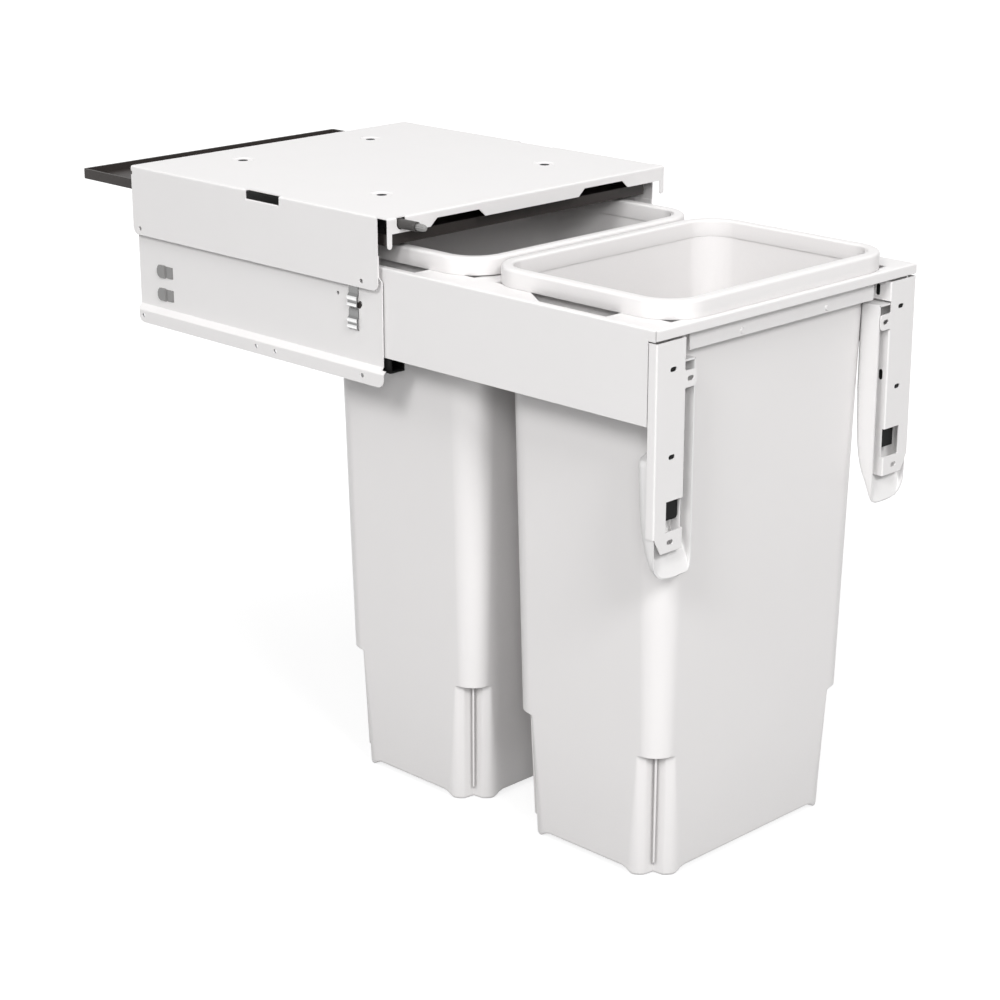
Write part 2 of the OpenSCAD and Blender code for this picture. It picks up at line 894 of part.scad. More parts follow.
// Cover behind a door bracket: a boat-shaped shell, open to the front
module cover_outline(inset) {
    inner = drawer_half - cover_w + inset;
    top = bracket_z - cover_top_drop - inset;
    side_top = bracket_z - cover_side_drop - inset;
    outer = drawer_half - inset;
    foot = bracket_z - cover_top_drop - cover_h + inset;
    polygon([
        [inner, top],
        [outer - cover_in_step, top],
        [outer - cover_in_step, side_top],
        [outer, side_top - cover_in_step],
        for (p = cover_foot_share) [outer - p[0] * cover_w, foot + p[1] * cover_round_h],
        [inner, foot + cover_foot_in_share * cover_round_h],
    ]);
}

module cover_profile(inset) {
    front = front_y + plate + cover_front_gap;
    top = bracket_z - cover_top_drop - inset;
    foot = bracket_z - cover_top_drop - cover_h + inset;
    mouth = inset > 0 ? front - over : front;
    polygon([
        [mouth, top],
        [front + cover_l - inset, top],
        [front + cover_foot_l - inset, foot + cover_keel_h],
        [front + cover_l - inset, foot + cover_keel_h / 2],
        [front, foot],
        [mouth, foot],
    ]);
}

module cover_form(inset) {
    intersection() {
        along_y(front_y - over, front_y + cover_foot_l + plate + over) cover_outline(inset);
        along_x(drawer_half - cover_w, drawer_half) cover_profile(inset);
    }
}

// Adjuster block's window in the bracket, and its body behind the window grown by a gap
function block_low() = [drawer_half - bracket_window_x, bracket_foot_z + bracket_window_up];
function block_high() = block_low() + [bracket_window_w, bracket_window_h];
module block_body(gap) {
    area(
        block_low() + [-block_border - gap, block_foot - gap],
        block_high() + [1, 1] * (block_border + gap)
    );
}

module bracket_cover(side) {
    front = front_y + plate + cover_front_gap;
    inner = drawer_half - cover_w + cover_wall / 2;
    color("white") on_side(side) difference() {
        union() {
            difference() {
                cover_form(0);
                cover_form(cover_wall);
            }
            for (share = cover_rib_share) intersection() {
                cover_form(cover_wall / 2);
                translate([0, 0, bracket_z - cover_top_drop - share * cover_h]) block(
                    [inner, front + cover_l - cover_rib_l, 0],
                    [drawer_half, front + cover_foot_l, cover_rib_t]
                );
            }
        }
        block(
            [panel_in - slip - plate - slip, front_y, bracket_z - bracket_leg_h - slip],
            [drawer_half + over, front_y + bracket_leg_l + slip, bracket_z]
        );
        along_y(front_y, front_y + plate + block_l + 2 * slip) block_body(slip);
    }
}

module adjuster_block(side) {
    back = front_y + plate + slip;
    color("black") on_side(side) union() {
        along_y(front_y + block_out, back + over)
            area(block_low() + [slip, block_short], block_high() - [slip, slip]);
        along_y(back, back + block_l) block_body(0);
    }
}

// Bins
body_half_w = rim_half_w - body_in_w;
body_half_l = rim_half_l - (body_in_front + body_in_back) / 2;
body_shift = (body_in_front - body_in_back) / 2;
body_foot_z = drawer_z - bin_h;
notch_z = body_foot_z + notch_h;

function corner_plain(half, r, points) = [
    for (i = [0:points - 1])
        let (a = 90 * i / (points - 1))
        half - [r, r] + r * [cos(a), sin(a)]
];
function corner_notched(half, depth, width) =
    let (
        side = [
            for (i = [0:len(notch_in_share) - 1])
                [notch_in_share[i] * depth, depth + notch_back_share[i] * (width - depth)]
        ]
    )
    concat(
        [for (p = side) half - p],
        [for (p = reversed(side)) half - [p.y, p.x]]
    );
function ring(corner, z) = [
    for (p = corner) [p.x, p.y, z],
    for (p = reversed(corner)) [-p.x, p.y, z],
    for (p = corner) [-p.x, -p.y, z],
    for (p = reversed(corner)) [p.x, -p.y, z],
];
corner_points = 2 * len(notch_in_share);
ring_points = 4 * corner_points;

function taper_at(z) = bin_taper * (drawer_z - z) / bin_h;
function body_half(z, inset) = [body_half_w, body_half_l] - [1, 1] * (taper_at(z) + inset);
function corner_r_at(z) =
    corner_top_r - (corner_top_r - corner_step_r) * (drawer_z - z) / (bin_h - notch_h);
function plain_corner(z, inset) = corner_plain(body_half(z, inset), corner_r_at(z) - inset, corner_points);
function notch_width_at(z) = notch + notch_spread * (notch_z - z) / notch_h;
function notch_corner(z, depth) = corner_notched(body_half(z, 0), depth, notch_width_at(z));
function plain_ring(z, inset) = ring(plain_corner(z, inset), z);
function notch_ring(z, depth) = ring(notch_corner(z, depth), z);
function step_ring(p) =
    let (z = notch_z - p[0] * step_h)
    ring(plain_corner(z, 0) * (1 - p[1]) + notch_corner(z, notch_depth) * p[1], z);
function inner_foot_ring(z) =
    ring(corner_plain(body_half(z, bin_wall), inner_notch_r, corner_points), z);
function rim_ring(inset, z) = [
    for (p = ring(
        corner_plain([rim_half_w, rim_half_l] - [inset, inset], rim_corner_r - inset, corner_points), z
    )) p - [0, body_shift, 0]
];

function bin_rings() =
    let (
        top = drawer_z + rim_h,
        under = drawer_z + rim_h - skirt_t
    )
    [
        notch_ring(body_foot_z, pad_depth),
        notch_ring(body_foot_z + pad_h, pad_depth),
        notch_ring(body_foot_z + pad_h + pad_slope, notch_depth),
        for (i = [len(step_share) - 1:-1:0]) step_ring(step_share[i]),
        plain_ring(notch_z, 0),
        plain_ring(drawer_z, 0),
        plain_ring(under, 0),
        rim_ring(skirt_t, under),
        rim_ring(skirt_t, drawer_z),
        rim_ring(0, drawer_z),
        rim_ring(0, top - rim_round * 2),
        rim_ring(rim_round / 2, top - rim_round / 2),
        rim_ring(rim_round * 3 / 2, top),
        rim_ring(rim_band - rim_round, top),
        rim_ring(rim_band, top - rim_round),
        plain_ring(drawer_z + ledge_w, bin_wall - ledge_w / 2),
        plain_ring(drawer_z, bin_wall),
        plain_ring(notch_z + inner_fade, bin_wall),
        inner_foot_ring(notch_z),
        inner_foot_ring(body_foot_z + floor_t),
    ];

module bin_shell() {
    rings = bin_rings();
    last = len(rings) - 1;
    polyhedron(
        points = [for (r = rings) each r],
        faces = [
            [for (j = [0:ring_points - 1]) j],
            [for (j = [ring_points - 1:-1:0]) last * ring_points + j],
            for (k = [0:last - 1]) for (j = [0:ring_points - 1])
                let (a = k * ring_points + j, b = k * ring_points + (j + 1) % ring_points)
                each [[a, a + ring_points, b + ring_points], [a, b + ring_points, b]],
        ]
    );
}

// Two feet at a corner of the base, whose own corner is at the origin
module corner_feet() {
    for (turned = [0, 1]) mirror([turned, -turned, 0])
        along_z(body_foot_z - bin_foot_h, body_foot_z + floor_t / 2)
            rounded_area([-foot_in - foot_w, -foot_to], [-foot_in, -foot_from], foot_r);
}

// Fin down the middle of a notch, drawn along the corner's own slope
module corner_fin() {
    low = body_foot_z + pad_h;
    high = notch_z - fin_end;
    lean = sqrt(2) * (taper_at(low) - taper_at(high));
    deep = sqrt(2) * notch_depth;
    rotate([0, 0, 225]) rotate([90, 0, 0]) linear_extrude(fin_t, center = true) polygon([
        [deep - fin_proud, low],
        [deep + fin_sink, low],
        [deep + fin_sink - lean, high],
        [fin_top - lean, high],
    ]);
}

module bin() {
    corner = body_half(body_foot_z, 0);
    translate([0, body_shift, 0]) union() {
        bin_shell();
        for (x = [0, 1]) for (y = [0, 1]) mirror([x, 0, 0]) mirror([0, y, 0])
            translate([corner.x, corner.y, 0]) {
                corner_feet();
                corner_fin();
            }
    }
}

module front_bin() {
    color("white") translate([0, front_bin_y, 0]) bin();
}

module rear_bin() {
    color("white") translate([0, rear_bin_y, 0]) bin();
}

// Bumper that the closed door rests against
module bumper_place(y) {
    translate([-bumper_x, y, bumper_z]) rotate([-90, 0, 0]) children();
}

module bumper_housing() {
    color("dimgray") difference() {
        bumper_place(-bumper_front) cylinder(h = bumper_front + bumper_back, r = bumper_d / 2);
        bumper_place(-bumper_front - over)
            cylinder(
                h = bumper_front - plunger_tail + plunger_room + over,
                r = plunger_d / 2 + bumper_slip
            );
    }
}

module bumper_plunger() {
    tip = nose + bumper_reach;
    color("silver") union() {
        bumper_place(plunger_d / 2 - tip) cylinder(h = tip - plunger_tail - plunger_d / 2, r = plunger_d / 2);
        bumper_place(plunger_d / 2 - tip) sphere(r = plunger_d / 2);
    }
}

module bumper_holder() {
    color("black") difference() {
        block(
            [-bumper_x - holder_w / 2, holder_y, bumper_z - bumper_d / 2 - over],
            [holder_w / 2 - bumper_x, holder_y + holder_l, -sheet]
        );
        bumper_place(holder_y - over) cylinder(h = holder_l + 2 * over, r = bumper_d / 2 + bumper_slip / 2);
    }
}

hood();
side_plate(left);  // side_plate_left
side_plate(right);  // side_plate_right
lid_tray();
lid_rail(left);  // lid_rail_left
lid_rail(right);  // lid_rail_right
runner_bracket(left);  // runner_bracket_left
runner_bracket(right);  // runner_bracket_right
cabinet_rail(left);  // cabinet_rail_left
cabinet_rail(right);  // cabinet_rail_right
end_cap(left);  // end_cap_left
end_cap(right);  // end_cap_right
spring_clip(left);  // spring_clip_left
spring_clip(right);  // spring_clip_right
guide_clip(left);  // guide_clip_left
guide_clip(right);  // guide_clip_right
bumper_holder();
bumper_housing();
bumper_plunger();
middle_rail(left);  // middle_rail_left
middle_rail(right);  // middle_rail_right
cage(left, outer_cage_y, outer_cage_u, outer_ball_u, outer_ball_w);  // outer_cage_left
cage(right, outer_cage_y, outer_cage_u, outer_ball_u, outer_ball_w);  // outer_cage_right
cage(left, inner_cage_y, inner_cage_u, inner_ball_u, inner_ball_w);  // inner_cage_left
cage(right, inner_cage_y, inner_cage_u, inner_ball_u, inner_ball_w);  // inner_cage_right
cage_balls(left, outer_cage_y, outer_ball_u, outer_ball_w);  // outer_balls_left
cage_balls(right, outer_cage_y, outer_ball_u, outer_ball_w);  // outer_balls_right
cage_balls(left, inner_cage_y, inner_ball_u, inner_ball_w);  // inner_balls_left
cage_balls(right, inner_cage_y, inner_ball_u, inner_ball_w);  // inner_balls_right
drawer_rail(left);  // drawer_rail_left
drawer_rail(right);  // drawer_rail_right
drawer_side(left);  // drawer_side_left
drawer_side(right);  // drawer_side_right
front_rail();
front_stiffener();
stiffener_rivets();
middle_crossbar();
rear_crossbar();
door_bracket(left);  // door_bracket_left
door_bracket(right);  // door_bracket_right
bracket_cover(left);  // bracket_cover_left
bracket_cover(right);  // bracket_cover_right
adjuster_block(left);  // adjuster_block_left
adjuster_block(right);  // adjuster_block_right
front_bin();
rear_bin();
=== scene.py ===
import json
import math

import bmesh
import bpy
import numpy as np
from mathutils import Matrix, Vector


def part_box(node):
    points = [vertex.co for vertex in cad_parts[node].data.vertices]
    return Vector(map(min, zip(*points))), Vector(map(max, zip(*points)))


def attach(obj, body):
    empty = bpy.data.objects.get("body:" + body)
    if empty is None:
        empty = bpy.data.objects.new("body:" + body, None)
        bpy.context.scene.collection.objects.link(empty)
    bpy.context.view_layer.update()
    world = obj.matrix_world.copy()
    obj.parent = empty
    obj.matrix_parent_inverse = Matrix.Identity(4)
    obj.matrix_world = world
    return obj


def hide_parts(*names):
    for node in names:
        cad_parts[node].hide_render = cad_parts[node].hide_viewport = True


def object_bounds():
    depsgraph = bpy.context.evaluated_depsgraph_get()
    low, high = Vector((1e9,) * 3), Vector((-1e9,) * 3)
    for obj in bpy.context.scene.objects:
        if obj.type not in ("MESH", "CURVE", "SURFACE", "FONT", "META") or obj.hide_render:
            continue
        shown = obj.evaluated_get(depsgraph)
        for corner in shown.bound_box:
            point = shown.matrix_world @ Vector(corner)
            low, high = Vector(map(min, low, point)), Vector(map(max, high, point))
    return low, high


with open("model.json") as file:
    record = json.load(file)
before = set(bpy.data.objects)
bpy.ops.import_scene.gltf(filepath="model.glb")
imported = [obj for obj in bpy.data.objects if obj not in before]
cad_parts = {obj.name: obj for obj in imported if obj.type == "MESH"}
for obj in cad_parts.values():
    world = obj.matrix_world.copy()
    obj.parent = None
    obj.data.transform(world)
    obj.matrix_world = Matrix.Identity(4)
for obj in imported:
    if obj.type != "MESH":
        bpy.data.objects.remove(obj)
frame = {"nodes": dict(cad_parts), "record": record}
cad_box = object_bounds()
nodes = frame["nodes"]

MM = 0.001


# Camera, in metres and degrees, solved from the straight edges of the hood and the drawer's frame

CAMERA_PLACE = (-1.83946, -1.79798, 0.49629)
CAMERA_TILT = 71.92
CAMERA_TURN = -45.134
LENS = 89.15
SENSOR = 36
FAR_END = 60


def link(obj):
    """Puts an object into the scene."""
    bpy.context.scene.collection.objects.link(obj)
    return obj


def make_camera():
    data = bpy.data.cameras.new("camera")
    data.lens = LENS
    data.sensor_width = SENSOR
    data.clip_end = FAR_END
    camera = link(bpy.data.objects.new("camera", data))
    camera.location = CAMERA_PLACE
    camera.rotation_euler = (math.radians(CAMERA_TILT), 0, math.radians(CAMERA_TURN))
    bpy.context.scene.camera = camera


# Softboxes: place, what it points at, diameter in metres and power in watts

SOFTBOXES = {
    "front_softbox": ((-2.1, -5.9, 4.2), (0, 0, -0.3), 2.2, 255),
    "side_softbox": ((-5.9, -2.1, 4.4), (0, 0, -0.3), 2.4, 255),
    "low_softbox": ((-4.7, -4.7, 2.3), (0, 0, -0.4), 2.0, 100),
    "top_softbox": ((0, 0.2, 3.2), (0, 0, 0), 2.2, 20),
}


def make_softbox(name, location, target, size, power):
    data = bpy.data.lights.new(name, "AREA")
    data.shape = "DISK"
    data.size = size
    data.energy = power
    lamp = link(bpy.data.objects.new(name, data))
    lamp.location = location
    lamp.rotation_euler = (Vector(target) - lamp.location).to_track_quat("-Z", "Y").to_euler()


# Shader nodes

def add_node(tree, kind, inputs=(), **settings):
    """A new node with its settings, and with its inputs set to a value or linked to another's output."""
    node = tree.nodes.new("ShaderNode" + kind)
    for name, value in settings.items():
        setattr(node, name, value)
    for name, value in dict(inputs).items():
        if isinstance(value, bpy.types.NodeSocket):
            tree.links.new(value, node.inputs[name])
        else:
            node.inputs[name].default_value = value
    return node


def map_range(tree, value, start, end, low, high, **settings):
    """Maps a value's stretch from start to end onto low to high."""
    inputs = {"Value": value, "From Min": start, "From Max": end, "To Min": low, "To Max": high}
    return add_node(tree, "MapRange", inputs, **settings).outputs["Result"]


def seen_ray(tree):
    """A value of 1 on camera, glossy and transmission rays."""
    path = add_node(tree, "LightPath")
    value = path.outputs["Is Camera Ray"]
    for other in ("Is Glossy Ray", "Is Transmission Ray"):
        value = add_node(tree, "Math", {0: value, 1: path.outputs[other]}, operation="MAXIMUM").outputs[0]
    return value


def new_material(name, color, roughness, specular, metallic=0.0):
    mat = bpy.data.materials.new(name)
    mat.use_nodes = True
    shader = mat.node_tree.nodes["Principled BSDF"]
    shader.inputs["Base Color"].default_value = (*color, 1)
    shader.inputs["Roughness"].default_value = roughness
    shader.inputs["Specular IOR Level"].default_value = specular
    shader.inputs["Metallic"].default_value = metallic
    return mat, mat.node_tree, shader


# World and floor: both look white, and light the object only a little. The floor's own white falls off
# towards the object, so that its shadow shows.

AMBIENT = 0.32
FLOOR_SIZE = 60
FLOOR_DROP = 0.0005
FLOOR_COLOR = (0.3, 0.3, 0.3)
FLOOR_ROUGHNESS = 0.9
GLOW_REACH = (0.85, 1.6)
GLOW = (0.8, 1.0)


def make_world():
    world = bpy.data.worlds.new("studio")
    bpy.context.scene.world = world
    world.use_nodes = True
    tree = world.node_tree
    mix = add_node(tree, "Mix", {"Factor": seen_ray(tree), "A": AMBIENT, "B": 1}, data_type="FLOAT")
    back = tree.nodes["Background"]
    back.inputs["Color"].default_value = (1, 1, 1, 1)
    tree.links.new(mix.outputs["Result"], back.inputs["Strength"])


def make_floor():
    bpy.ops.mesh.primitive_plane_add(size=FLOOR_SIZE, location=(0, 0, cad_box[0][2] - FLOOR_DROP))
    floor = bpy.context.object
    floor.name = "floor"
    mat, tree, shader = new_material("floor", FLOOR_COLOR, FLOOR_ROUGHNESS, 0)
    shader.inputs["Emission Color"].default_value = (1, 1, 1, 1)
    place = add_node(tree, "NewGeometry")
    reach = add_node(tree, "VectorMath", {0: place.outputs["Position"]}, operation="LENGTH")
    glow = map_range(tree, reach.outputs["Value"], *GLOW_REACH, *GLOW)
    lift = add_node(tree, "Math", {0: seen_ray(tree), 1: glow}, operation="MULTIPLY")
    tree.links.new(lift.outputs[0], shader.inputs["Emission Strength"])
    floor.data.materials.append(mat)


# Finishes. Scales are in waves per metre, and lengths in metres.

NOISE_MIDDLE = (0.3, 0.7)
CLOUD_SCALE = 14
PATCH_SCALE = 160
ROUGH_VARY = 0.04
OPENNESS_LOW = 0.02
OPENNESS_SAMPLES = 6


def noise(tree, scale, detail, stretch):
    """Noise over the object's own coordinates."""
    place = add_node(tree, "TexCoord")
    mapping = add_node(tree, "Mapping", {"Vector": place.outputs["Object"], "Scale": stretch})
    inputs = {"Vector": mapping.outputs["Vector"], "Scale": scale, "Detail": detail}
    return add_node(tree, "TexNoise", inputs).outputs["Fac"]


def tint(tree, value, dark, light):
    """Mixes two colours by a noise value's middle range."""
    factor = map_range(tree, value, *NOISE_MIDDLE, 0, 1)
    inputs = {"Factor": factor, "A": (*dark, 1), "B": (*light, 1)}
    return add_node(tree, "Mix", inputs, data_type="RGBA").outputs["Result"]


def paint_shade_in_hollows(tree, color, reach, deepest, full):
    """Paints shade into a colour by ambient occlusion: darkens it in hollows, down to a share of itself
    where nothing within reach is open.
    """
    around = add_node(tree, "AmbientOcclusion", {"Distance": reach}, samples=OPENNESS_SAMPLES)
    share = map_range(tree, around.outputs["AO"], OPENNESS_LOW, full, deepest, 1)
    inputs = {"Factor": 1, "A": color, "B": share}
    return add_node(tree, "Mix", inputs, data_type="RGBA", blend_type="MULTIPLY").outputs["Result"]


def paint_crest_highlight(tree, color, low, high, bright):
    """Paints a highlight into a colour, brighter towards the crests that stand farthest out sideways, from
    low to high.
    """
    place = add_node(tree, "TexCoord")
    split = add_node(tree, "SeparateXYZ", {0: place.outputs["Object"]})
    out = add_node(tree, "Math", {0: split.outputs["X"]}, operation="ABSOLUTE")
    rise = map_range(tree, out.outputs[0], low, high, 0, 1, interpolation_type="SMOOTHSTEP")
    inputs = {"Factor": rise, "A": color, "B": (bright, bright, bright, 1)}
    return add_node(tree, "Mix", inputs, data_type="RGBA").outputs["Result"]


def make_finish(name, color, rough, grain, depth, vary, metallic=0.0, specular=0.5, stretch=(1, 1, 1),
                shade_hollows=(), crests=None):
    """A finish with a cloudy colour, a roughness that varies in patches and a fine raised grain.

    Colour varies by a share, vary. Grain is a scale, and depth its height. Hollows are the settings of the
    painted shade in hollows, one set after another, and crests those of the painted highlight on crests."""
    mat, tree, shader = new_material(name, color, rough, specular, metallic)
    dark = [c * (1 - vary) for c in color]
    light = [min(1, c * (1 + vary)) for c in color]
    paint = tint(tree, noise(tree, CLOUD_SCALE, 4, stretch), dark, light)
    # Painted highlight on the crests
    if crests:
        paint = paint_crest_highlight(tree, paint, *crests)
    # Painted shade: each set darkens the colour in hollows by ambient occlusion
    for hollow in shade_hollows:
        paint = paint_shade_in_hollows(tree, paint, *hollow)
    tree.links.new(paint, shader.inputs["Base Color"])
    rough_span = (rough * (1 - ROUGH_VARY), rough * (1 + ROUGH_VARY))
    patches = map_range(tree, noise(tree, PATCH_SCALE, 3, stretch), *NOISE_MIDDLE, *rough_span)
    tree.links.new(patches, shader.inputs["Roughness"])
    raised = add_node(tree, "Bump", {"Distance": depth, "Height": noise(tree, grain, 2, stretch)})
    tree.links.new(raised.outputs["Normal"], shader.inputs["Normal"])
    return mat


FINISHES = {
    # Painted shade: the hollows settings darken the colour by ambient occlusion in creases and where parts
    # meet
    "white_steel": dict(
        color=(0.83, 0.815, 0.812), rough=0.36, grain=1100, depth=0.000008, vary=0.005,
        shade_hollows=((0.007, 0.3, 0.4),)),
    "zinc_steel": dict(
        color=(0.62, 0.63, 0.64), rough=0.32, grain=500, depth=0.00002, vary=0.05,
        metallic=1.0, stretch=(1, 0.04, 1)),
    # Painted highlight and shade: crests brighten the clip's outermost ridges, hollows darken its creases by
    # ambient occlusion
    "spring_steel": dict(
        color=(0.27, 0.27, 0.27), rough=0.26, grain=700, depth=0.00001, vary=0.04,
        metallic=1.0, stretch=(1, 1, 0.05), crests=(0.2039, 0.20475, 0.88),
        shade_hollows=((0.004, 0.3, 0.45),)),
    "cage_steel": dict(
        color=(0.66, 0.6, 0.42), rough=0.3, grain=500, depth=0.00001, vary=0.12, metallic=1.0),
    "ball_steel": dict(
        color=(0.82, 0.82, 0.84), rough=0.08, grain=300, depth=0.000002, vary=0.02, metallic=1.0),
    "charcoal_plastic": dict(
        color=(0.03, 0.025, 0.023), rough=0.5, grain=2200, depth=0.00006, vary=0.08, specular=0.35),
    "black_plastic": dict(
        color=(0.006, 0.006, 0.006), rough=0.5, grain=2200, depth=0.00004, vary=0.1, specular=0.12),
    "dark_grey_plastic": dict(
        color=(0.058, 0.055, 0.053), rough=0.45, grain=2200, depth=0.00004, vary=0.08, specular=0.35),
    "grey_plastic": dict(
        color=(0.26, 0.256, 0.253), rough=0.4, grain=2000, depth=0.00003, vary=0.04),
    # Painted shade: the hollows settings darken the covers' insides and creases by ambient occlusion
    "white_plastic": dict(
        color=(0.8, 0.79, 0.787), rough=0.32, grain=1500, depth=0.000006, vary=0.005,
        shade_hollows=((0.02, 0.35, 0.45),)),
    # Painted shade: the hollows settings darken the bins' insides and creases by ambient occlusion
    "bin_plastic": dict(
        color=(0.83, 0.812, 0.808), rough=0.3, grain=1400, depth=0.000004, vary=0.004,
        shade_hollows=((0.25, 0.78, 0.75), (0.006, 0.45, 0.4))),
}
materials = {name: make_finish(name, **finish) for name, finish in FINISHES.items()}

for part in frame["record"]["subparts"]:
    mesh = nodes[part["node"]].data
    mesh.materials.clear()
    mesh.materials.append(materials[part["material_slot"]])


# Building in millimetres

def add_piece(name, bm, body, slot, *replaced, degrees=35):
    """A piece from a bmesh, turned outwards, with edges left sharp from an angle on, and a slot's finish."""
    bmesh.ops.scale(bm, vec=(MM, MM, MM), verts=bm.verts)
    bmesh.ops.recalc_face_normals(bm, faces=bm.faces)
    mesh = bpy.data.meshes.new(name)
    bm.to_mesh(mesh)
    bm.free()
    mesh.polygons.foreach_set("use_smooth", [True] * len(mesh.polygons))
    mesh.set_sharp_from_angle(angle=math.radians(degrees))
    mesh.materials.append(materials[slot])
    obj = link(bpy.data.objects.new(name, mesh))
    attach(obj, body)
    if replaced:
        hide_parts(*replaced)


def join_rings(bm, rings):
    """Adds a closed skin over rings of vertices, and gives its faces."""
    faces = [bm.faces.new(rings[0][::-1]), bm.faces.new(rings[-1])]
    for one, two in zip(rings, rings[1:]):
        for k in range(len(one)):
            m = (k + 1) % len(one)
            faces.append(bm.faces.new((one[k], one[m], two[m], two[k])))
    return faces


def arc(centre, radius, start, end, count=7):
    turns = np.radians(np.linspace(start, end, count))
    return [(centre[0] + radius * math.cos(t), centre[1] + radius * math.sin(t)) for t in turns]


def circle(centre, radius, count=24):
    return arc(centre, radius, 0, 360 - 360 / count, count)


def oblong(low, high):
    """A rectangle's corners, anticlockwise from the low one."""
    return [low, (high[0], low[1]), high, (low[0], high[1])]


def obround(centre, length, width, upright=False):
    """A slot with round ends, anticlockwise."""
    r, reach = width / 2, (length - width) / 2
    x, y = centre
    if upright:
        return arc((x, y + reach), r, 0, 180) + arc((x, y - reach), r, 180, 360)
    return arc((x + reach, y), r, -90, 90) + arc((x - reach, y), r, 90, 270)


def on_axis(side, axis, u, v, w):
    """A point from its place along an axis, w, and the two others in x, y, z order, put on a side."""
    point = {"x": (w, u, v), "y": (u, w, v), "z": (u, v, w)}[axis]
    return np.multiply(point, (side, 1, 1))


def prism(bm, outline, axis, low, high, side=1, round_off=0.0, segments=2):
    """Adds an outline extruded along an axis, with its edges rounded off."""
    rings = [[bm.verts.new(on_axis(side, axis, u, v, w)) for u, v in outline] for w in (low, high)]
    faces = join_rings(bm, rings)
    if round_off:
        edges = list({edge for face in faces for edge in face.edges})
        bmesh.ops.bevel(
            bm, geom=edges, offset=round_off, segments=segments, affect="EDGES", clamp_overlap=True)


def sheet_with_holes(bm, outline, holes, axis, low, high, side=1):
    """Adds a flat sheet with holes through it."""
    edges = []
    for points in [outline] + holes:
        verts = [bm.verts.new(on_axis(side, axis, u, v, low)) for u, v in points]
        edges += [bm.edges.new((verts[j], verts[(j + 1) % len(verts)])) for j in range(len(verts))]
    filled = bmesh.ops.triangle_fill(bm, use_beauty=True, use_dissolve=True, edges=edges)
    faces = [item for item in filled["geom"] if isinstance(item, bmesh.types.BMFace)]
    raised = bmesh.ops.extrude_face_region(bm, geom=faces)
    moved = [item for item in raised["geom"] if isinstance(item, bmesh.types.BMVert)]
    bmesh.ops.translate(bm, vec=on_axis(side, axis, 0, 0, high - low), verts=moved)


FLUTED_R = 2.0


def lathe(bm, profile, centre, count=32, flutes=0, cut=0.0):
    """Adds a body turned about the y axis, from pairs of y and radius, with flutes cut where it is wide."""
    rings = []
    for y, radius in profile:
        ring = []
        for turn in 2 * math.pi * np.arange(count) / count:
            dip = cut * (0.5 - 0.5 * math.cos(flutes * turn)) if flutes and radius > FLUTED_R else 0.0
            r = radius - dip
            ring.append(bm.verts.new((centre[0] + r * math.cos(turn), y, centre[1] + r * math.sin(turn))))
        rings.append(ring)
    join_rings(bm, rings)


def smooth_step(value):
    value = np.clip(value, 0, 1)
    return value * value * (3 - 2 * value)


# Bins: one loop of points for each level, from the base up the outside, over the rim and down the inside.
# A quarter of a loop is two mirrored halves of a corner, each given as depths behind the wall and
# distances back from the corner. Heights are from the rim's foot, and the rim's middle is at 0, 0.

RIM_HALF = (171.0, 124.0)
RIM_CORNER = 45.0
RIM_H = 18.0
RIM_OUTER_R = 3.2
RIM_INNER_R = 2.4
RIM_BAND_IN = 12.6
SKIRT_T = 2.4
BODY_HALF = (160.9, 111.4)
BODY_SHIFT = 2.3
BODY_H = 580.0
DRAW_IN = 15.7
WALL = 1.7
BIN_SHARP = 32

# Radius of the body's round corners: under the rim, and how much it falls down to a height
CORNER_R = 36.5
CORNER_R_FALL = 12.8
CORNER_R_END = -456.0

# Below the ledge the corners are notched. Chamfer across a corner, hollow in its middle and rounding of
# the posts beside it: size at the ledge, and its change down to the base.
LEDGE_Z = -451.0
NOTCH = ((26.6, 2.7), (10.5, -3.5), (1.85, 8.3))
HOLLOW_REACH = 14
HOLLOW_POWER = 1.15
# Drop below the ledge, and share of the way from round to notched
STEP_LEVELS = ((0.2, 0.06), (0.6, 0.3), (1.1, 0.7), (1.9, 0.93), (3.2, 1.0))

# Feet: the posts reach down past the base, from a height on, and a web between the two of a corner does
# so in part. Starts and ends are distances back from the corner.
FOOT_H = 6.0
FOOT_FROM, FOOT_RUN = -545.0, 33.0
FOOT_WEB = 0.7
FOOT_START, FOOT_RISE = 16.0, 6.0
FOOT_END, FOOT_FALL = 30.0, 14.0

# Base: how far its middle is raised, how far in that starts, the distance in and scale of the innermost
# loop, and the base's outer edge as distance in and height
BASE_UP = 2.0
BASE_UP_IN = 11
BASE_INNERMOST = (12, 0.7)
BASE_EDGE = ((7, 0), (1.8, 0), (0.8, 0.25), (0.25, 0.8), (0, 1.8))

# Heights of levels
NOTCHED_Z = (-578, -577, -576, -575, -574, -573, -570, -566, -560, -553, -545, -520, -495, -470, -457)
ROUND_Z = (LEDGE_Z, -449, -440, -400, -300, -200, -100, -4, RIM_H - SKIRT_T - 0.6, RIM_H - SKIRT_T)
INSIDE_Z = (0.3, -1.2, -4, -100, -200, -300, -400, -438)
INSIDE_LOW_Z = (-480, -520, -560)

# Inside: the corners widen beside the notches, and the floor has a round edge
INNER_R = 68.0
WIDEN_FROM, WIDEN_RUN = -440.0, 16.0
BIN_FLOOR_Z = -574.0
BIN_FLOOR_R = 12.0
BIN_FLOOR_IN = 25.0

# Fin on a notch's diagonal: height, front edge and buried back of a section, as distances in
FIN_SECTIONS = ((-451.5, 12.4, 20), (-460, 12.4, 20), (-570, 12.9, 20), (-574, 16, 20))
FIN_HALF = 1.3
FIN_EDGE_HALF = 0.7
FIN_EDGE = 0.8

# Points of half a corner: along the flat wall from a reach on, and round the curve. In a notch they are
# closer beside the wall.
CORNER_REACH = 70.0
FLAT_POINTS = 5
CURVE_POINTS = 28
CURVE_POWER = 1.25


